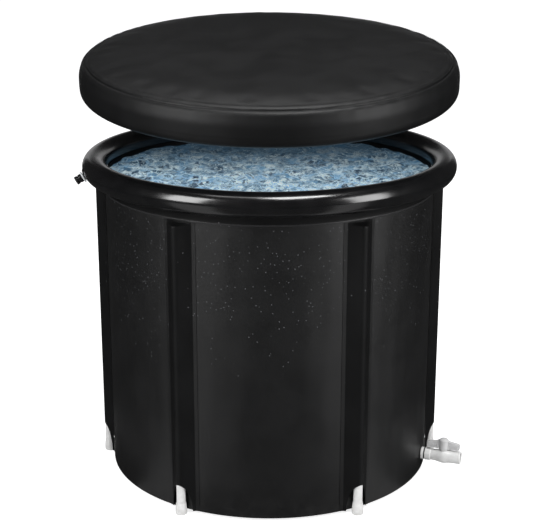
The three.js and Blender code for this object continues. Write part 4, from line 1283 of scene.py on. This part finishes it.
def make_stitches():
    """Thread stitches just above the lid's seam."""
    above = LID_SEAM_ANGLE + STITCH_RISE / LID_SHOULDER
    radius = LID_SHOULDER_X + (LID_SHOULDER + STITCH_LIFT) * math.cos(above)
    height = LID_SHOULDER_Z + (LID_SHOULDER + STITCH_LIFT) * math.sin(above)
    tree = Tree("lid_stitches", {
        "Radius": ("NodeSocketFloat", radius),
        "Height": ("NodeSocketFloat", height),
        "Pitch": ("NodeSocketFloat", 0.0068),
        "Stitch length": ("NodeSocketFloat", 0.0046),
        "Thread": ("NodeSocketFloat", 0.0011),
        "Material": ("NodeSocketMaterial", LID_THREAD),
    })
    circle = tree.node("GeometryNodeCurvePrimitiveCircle", Resolution=256, Radius=tree.entry["Radius"])
    spaced = tree.node("GeometryNodeResampleCurve", {"mode": "LENGTH"}, Curve=circle.outputs["Curve"],
                       Length=tree.entry["Pitch"])
    along = tree.node("GeometryNodeInputTangent").outputs["Tangent"]
    turn = tree.node("FunctionNodeAlignRotationToVector", {"axis": "X"}, Vector=along).outputs["Rotation"]
    bead = tree.node("GeometryNodeMeshUVSphere", Segments=8, Rings=5, Radius=0.5).outputs["Mesh"]
    size = tree.node("ShaderNodeCombineXYZ", X=tree.entry["Stitch length"], Y=tree.entry["Thread"],
                     Z=tree.entry["Thread"]).outputs["Vector"]
    placed = tree.node("GeometryNodeInstanceOnPoints", Points=spaced.outputs["Curve"], Instance=bead,
                       Rotation=turn, Scale=size)
    lift = tree.node("ShaderNodeCombineXYZ", Z=tree.entry["Height"]).outputs["Vector"]
    raised = tree.node("GeometryNodeTransform", Geometry=placed.outputs["Instances"], Translation=lift)
    tree.end(raised.outputs["Geometry"])
    stitches = tree.run(new_object("lid_stitches", (np.zeros((1, 3)), [])))
    stitches.data.transform(LID_PLACE)
    return dress(stitches, LID_THREAD, body="lid", crease=80)


def make_water_surface():
    """Choppy water inside the liner."""
    rim = BODY_RADIUS - LINER_DEPTH - LINER + flare(np.array(WATER_LEVEL)) - WATER_GAP
    spread = np.linspace(1, 0, 110) * rim
    bottom = WATER_LEVEL - WATER_DEPTH
    profile = [(0, bottom), (rim, bottom)] + [(radius, WATER_LEVEL) for radius in spread]
    water = new_object("ice_water_surface", turned(profile, 400, ring=False))
    points = points_of(water)
    random = np.random.default_rng(77)
    chop = 0
    for _ in range(CHOP_WAVES):
        length = random.uniform(*CHOP_LENGTHS)
        way, phase = random.uniform(0, 2 * math.pi, 2)
        along = points[:, 0] * math.cos(way) + points[:, 1] * math.sin(way)
        chop = chop + np.cos(2 * math.pi * along / length + phase)
    on_top = points[:, 2] > WATER_LEVEL - WATER_DEPTH / 2
    points[:, 2] += on_top * CHOP_HEIGHT * chop / math.sqrt(CHOP_WAVES)
    put_points(water, points)
    return dress(water, ICE_WATER, crease=80)


# CAD nodes that stay: hidden or inside the valve

def finish_kept_nodes():
    kept = {
        "valve_ball": SEAT_PLASTIC,
        "valve_stem": LEVER_PLASTIC,
        "valve_seat_inlet": SEAT_PLASTIC,
        "valve_seat_outlet": SEAT_PLASTIC,
        "valve_retainer": LEVER_PLASTIC,
        "valve_stem_seal": BLACK_RUBBER,
        "air_valve_flap": CLEAR_VINYL,
    }
    kept.update({f"rod_top_plug_{number}": WHITE_PIPE for number in range(1, 7)})
    for name, finish in kept.items():
        node = frame["nodes"][name]
        for slot in node.material_slots:
            slot.material = finish


# Studio

def light_path_share(s):
    """1 for rays that should see the white background: straight, mirrored or through glass."""
    path = s.tree.nodes.new("ShaderNodeLightPath").outputs
    seen = s.math("MAXIMUM", path["Is Camera Ray"], path["Is Glossy Ray"])
    return s.math("MAXIMUM", seen, path["Is Transmission Ray"])


def make_matt(name, shade):
    """Matt grey of the floor and the cards; returns it, its shader helper and its inputs."""
    material, s, inputs = new_material(name)
    inputs["Base Color"].default_value = grey(shade)
    inputs["Roughness"].default_value = 0.9
    inputs["Specular IOR Level"].default_value = 0.0
    return material, s, inputs


def make_floor():
    """Pale floor that keeps the tub's shadow."""
    size = 14
    floor = new_object("studio_floor", grid(np.array([[(-size, -size, 0), (size, -size, 0)],
                                                      [(-size, size, 0), (size, size, 0)]])))
    material, s, inputs = make_matt("pale_floor", 0.82)
    inputs["Emission Color"].default_value = (1, 1, 1, 1)
    s.put(inputs["Emission Strength"], s.math("MULTIPLY", light_path_share(s), 0.78))
    floor.data.materials.append(material)


def make_world():
    """White to the eye and in reflections; a soft even grey as light."""
    world = bpy.data.worlds.new("studio")
    bpy.context.scene.world = world
    world.use_nodes = True
    s = Shader(world.node_tree)
    background = world.node_tree.nodes["Background"]
    s.put(background.inputs["Color"], s.mix(light_path_share(s), (0.38, 0.38, 0.39, 1), (1, 1, 1, 1)))


def make_softbox(name, azimuth, distance, height, width, tall, watts, aim):
    """Soft lamp round the tub at an azimuth from the front, aimed at a point."""
    lamp = bpy.data.lights.new(name, "AREA")
    lamp.shape = "RECTANGLE"
    lamp.size = width
    lamp.size_y = tall
    lamp.energy = watts
    made = bpy.data.objects.new(name, lamp)
    bpy.context.scene.collection.objects.link(made)
    angle = math.radians(azimuth)
    made.location = (distance * math.sin(angle), -distance * math.cos(angle), height)
    made.rotation_euler = (Vector(aim) - made.location).to_track_quat("-Z", "Y").to_euler()
    made.visible_camera = False


CARD_DISTANCE = 3.6
CARD_START = 0.36
CARD_Z = 0.0015
CEILING_Z = 3.5
BACK_CARD = ((0.25, 1.5), (152, 208))
BACK_CARD_GAP = 0.02
NEAR_CARD = (0.51, 0.55)
TUB_MIDDLE = (0, 0, 0.6)
RING_FRONT = (0, -0.4, 0.72)
LEFT_LIGHT = -48
RIGHT_LIGHT = 57
FLOOR_CARDS = ((-43, 13), (45, 10))


def make_card(name, shape, shade):
    """Card that is seen only in the reflections of the gloss."""
    card = new_object(name, shape)
    card.data.materials.append(make_matt(name, shade)[0])
    card.visible_camera = False
    card.visible_diffuse = False
    card.visible_shadow = False
    card.visible_transmission = False


def card_band(rows, turn, whole=False):
    """Band of card round the tub through rows of (radius, height)."""
    points = np.concatenate([around(radius, height, turn) for radius, height in rows])
    return grid(points, False, whole)


def make_cards():
    """Black card round and over the set, a pale one at the back, grey ones on the floor."""
    turn = full_turn(96)[None, :]
    room = [(CARD_START, CARD_Z), (CARD_DISTANCE, CARD_Z), (CARD_DISTANCE, CEILING_Z), (0, CEILING_Z)]
    make_card("black_card", card_band(room, turn, True), shade=0.03)
    heights, turns = BACK_CARD
    back = [(CARD_DISTANCE - BACK_CARD_GAP, height) for height in heights]
    make_card("back_card", card_band(back, sector(*turns, 17)), shade=0.6)
    wedge = [(CARD_START, 2 * CARD_Z), (CARD_DISTANCE, 2 * CARD_Z)]
    shapes = [card_band(wedge, sector(middle - half, middle + half, 9)) for middle, half in FLOOR_CARDS]
    shapes.append(card_band([(radius, 2 * CARD_Z) for radius in NEAR_CARD], turn, True))
    make_card("grey_card", together(*shapes), shade=0.30)


def make_camera():
    lens = bpy.data.cameras.new("photo_camera")
    lens.sensor_width = SENSOR_WIDTH
    lens.lens = FOCAL_PIXELS * SENSOR_WIDTH / PHOTO_WIDTH
    lens.shift_x = -(OPTICAL_CENTRE_X - PHOTO_WIDTH / 2) / PHOTO_WIDTH
    camera = bpy.data.objects.new("photo_camera", lens)
    camera.location = (0, -CAMERA_BACK, CAMERA_HEIGHT)
    camera.rotation_euler = (math.pi / 2 - CAMERA_PITCH, 0, 0)
    bpy.context.scene.collection.objects.link(camera)
    bpy.context.scene.camera = camera


make_camera()
make_world()
make_floor()
make_cards()
make_softbox("left_softbox", LEFT_LIGHT,
             distance=2.5, height=1.65, width=1.0, tall=1.8, watts=40, aim=TUB_MIDDLE)
make_softbox("right_softbox", RIGHT_LIGHT,
             distance=2.5, height=1.3, width=1.0, tall=1.8, watts=33, aim=TUB_MIDDLE)
make_softbox("top_softbox", 180, distance=0.15, height=3.2, width=2.2, tall=2.2, watts=38, aim=(0, 0, 0))
make_softbox("front_strip", 26, distance=1.03, height=3.0, width=1.1, tall=0.75, watts=30, aim=RING_FRONT)

wall = make_wall()
liner = make_liner()
base = make_base()
ring = make_ring()
collar = make_collar()
pockets = [make_pocket(number) for number in range(1, 7)]
for number in range(1, 7):
    make_rod(number)
    make_foot(number)
make_bulkhead()
make_drain_ring("drain_inner_washer", "inner_washer", BLACK_RUBBER, 0.0005)
make_drain_ring("drain_outer_washer", "outer_washer", BLACK_RUBBER, 0.0005)
make_drain_ring("drain_locknut", "locknut", WHITE_PIPE, 0.0012)
make_drain_ring("valve_washer", "thread_washer", BLACK_RUBBER, 0.0008)
make_valve_body()
make_lever()
patch = make_air_patch()
make_air_stem()
make_air_plug()
lid = make_lid()
make_stitches()
make_water_surface()
finish_kept_nodes()

pocket_run = pocket_outline(0)

bpy.context.scene.view_settings.view_transform = "Standard"
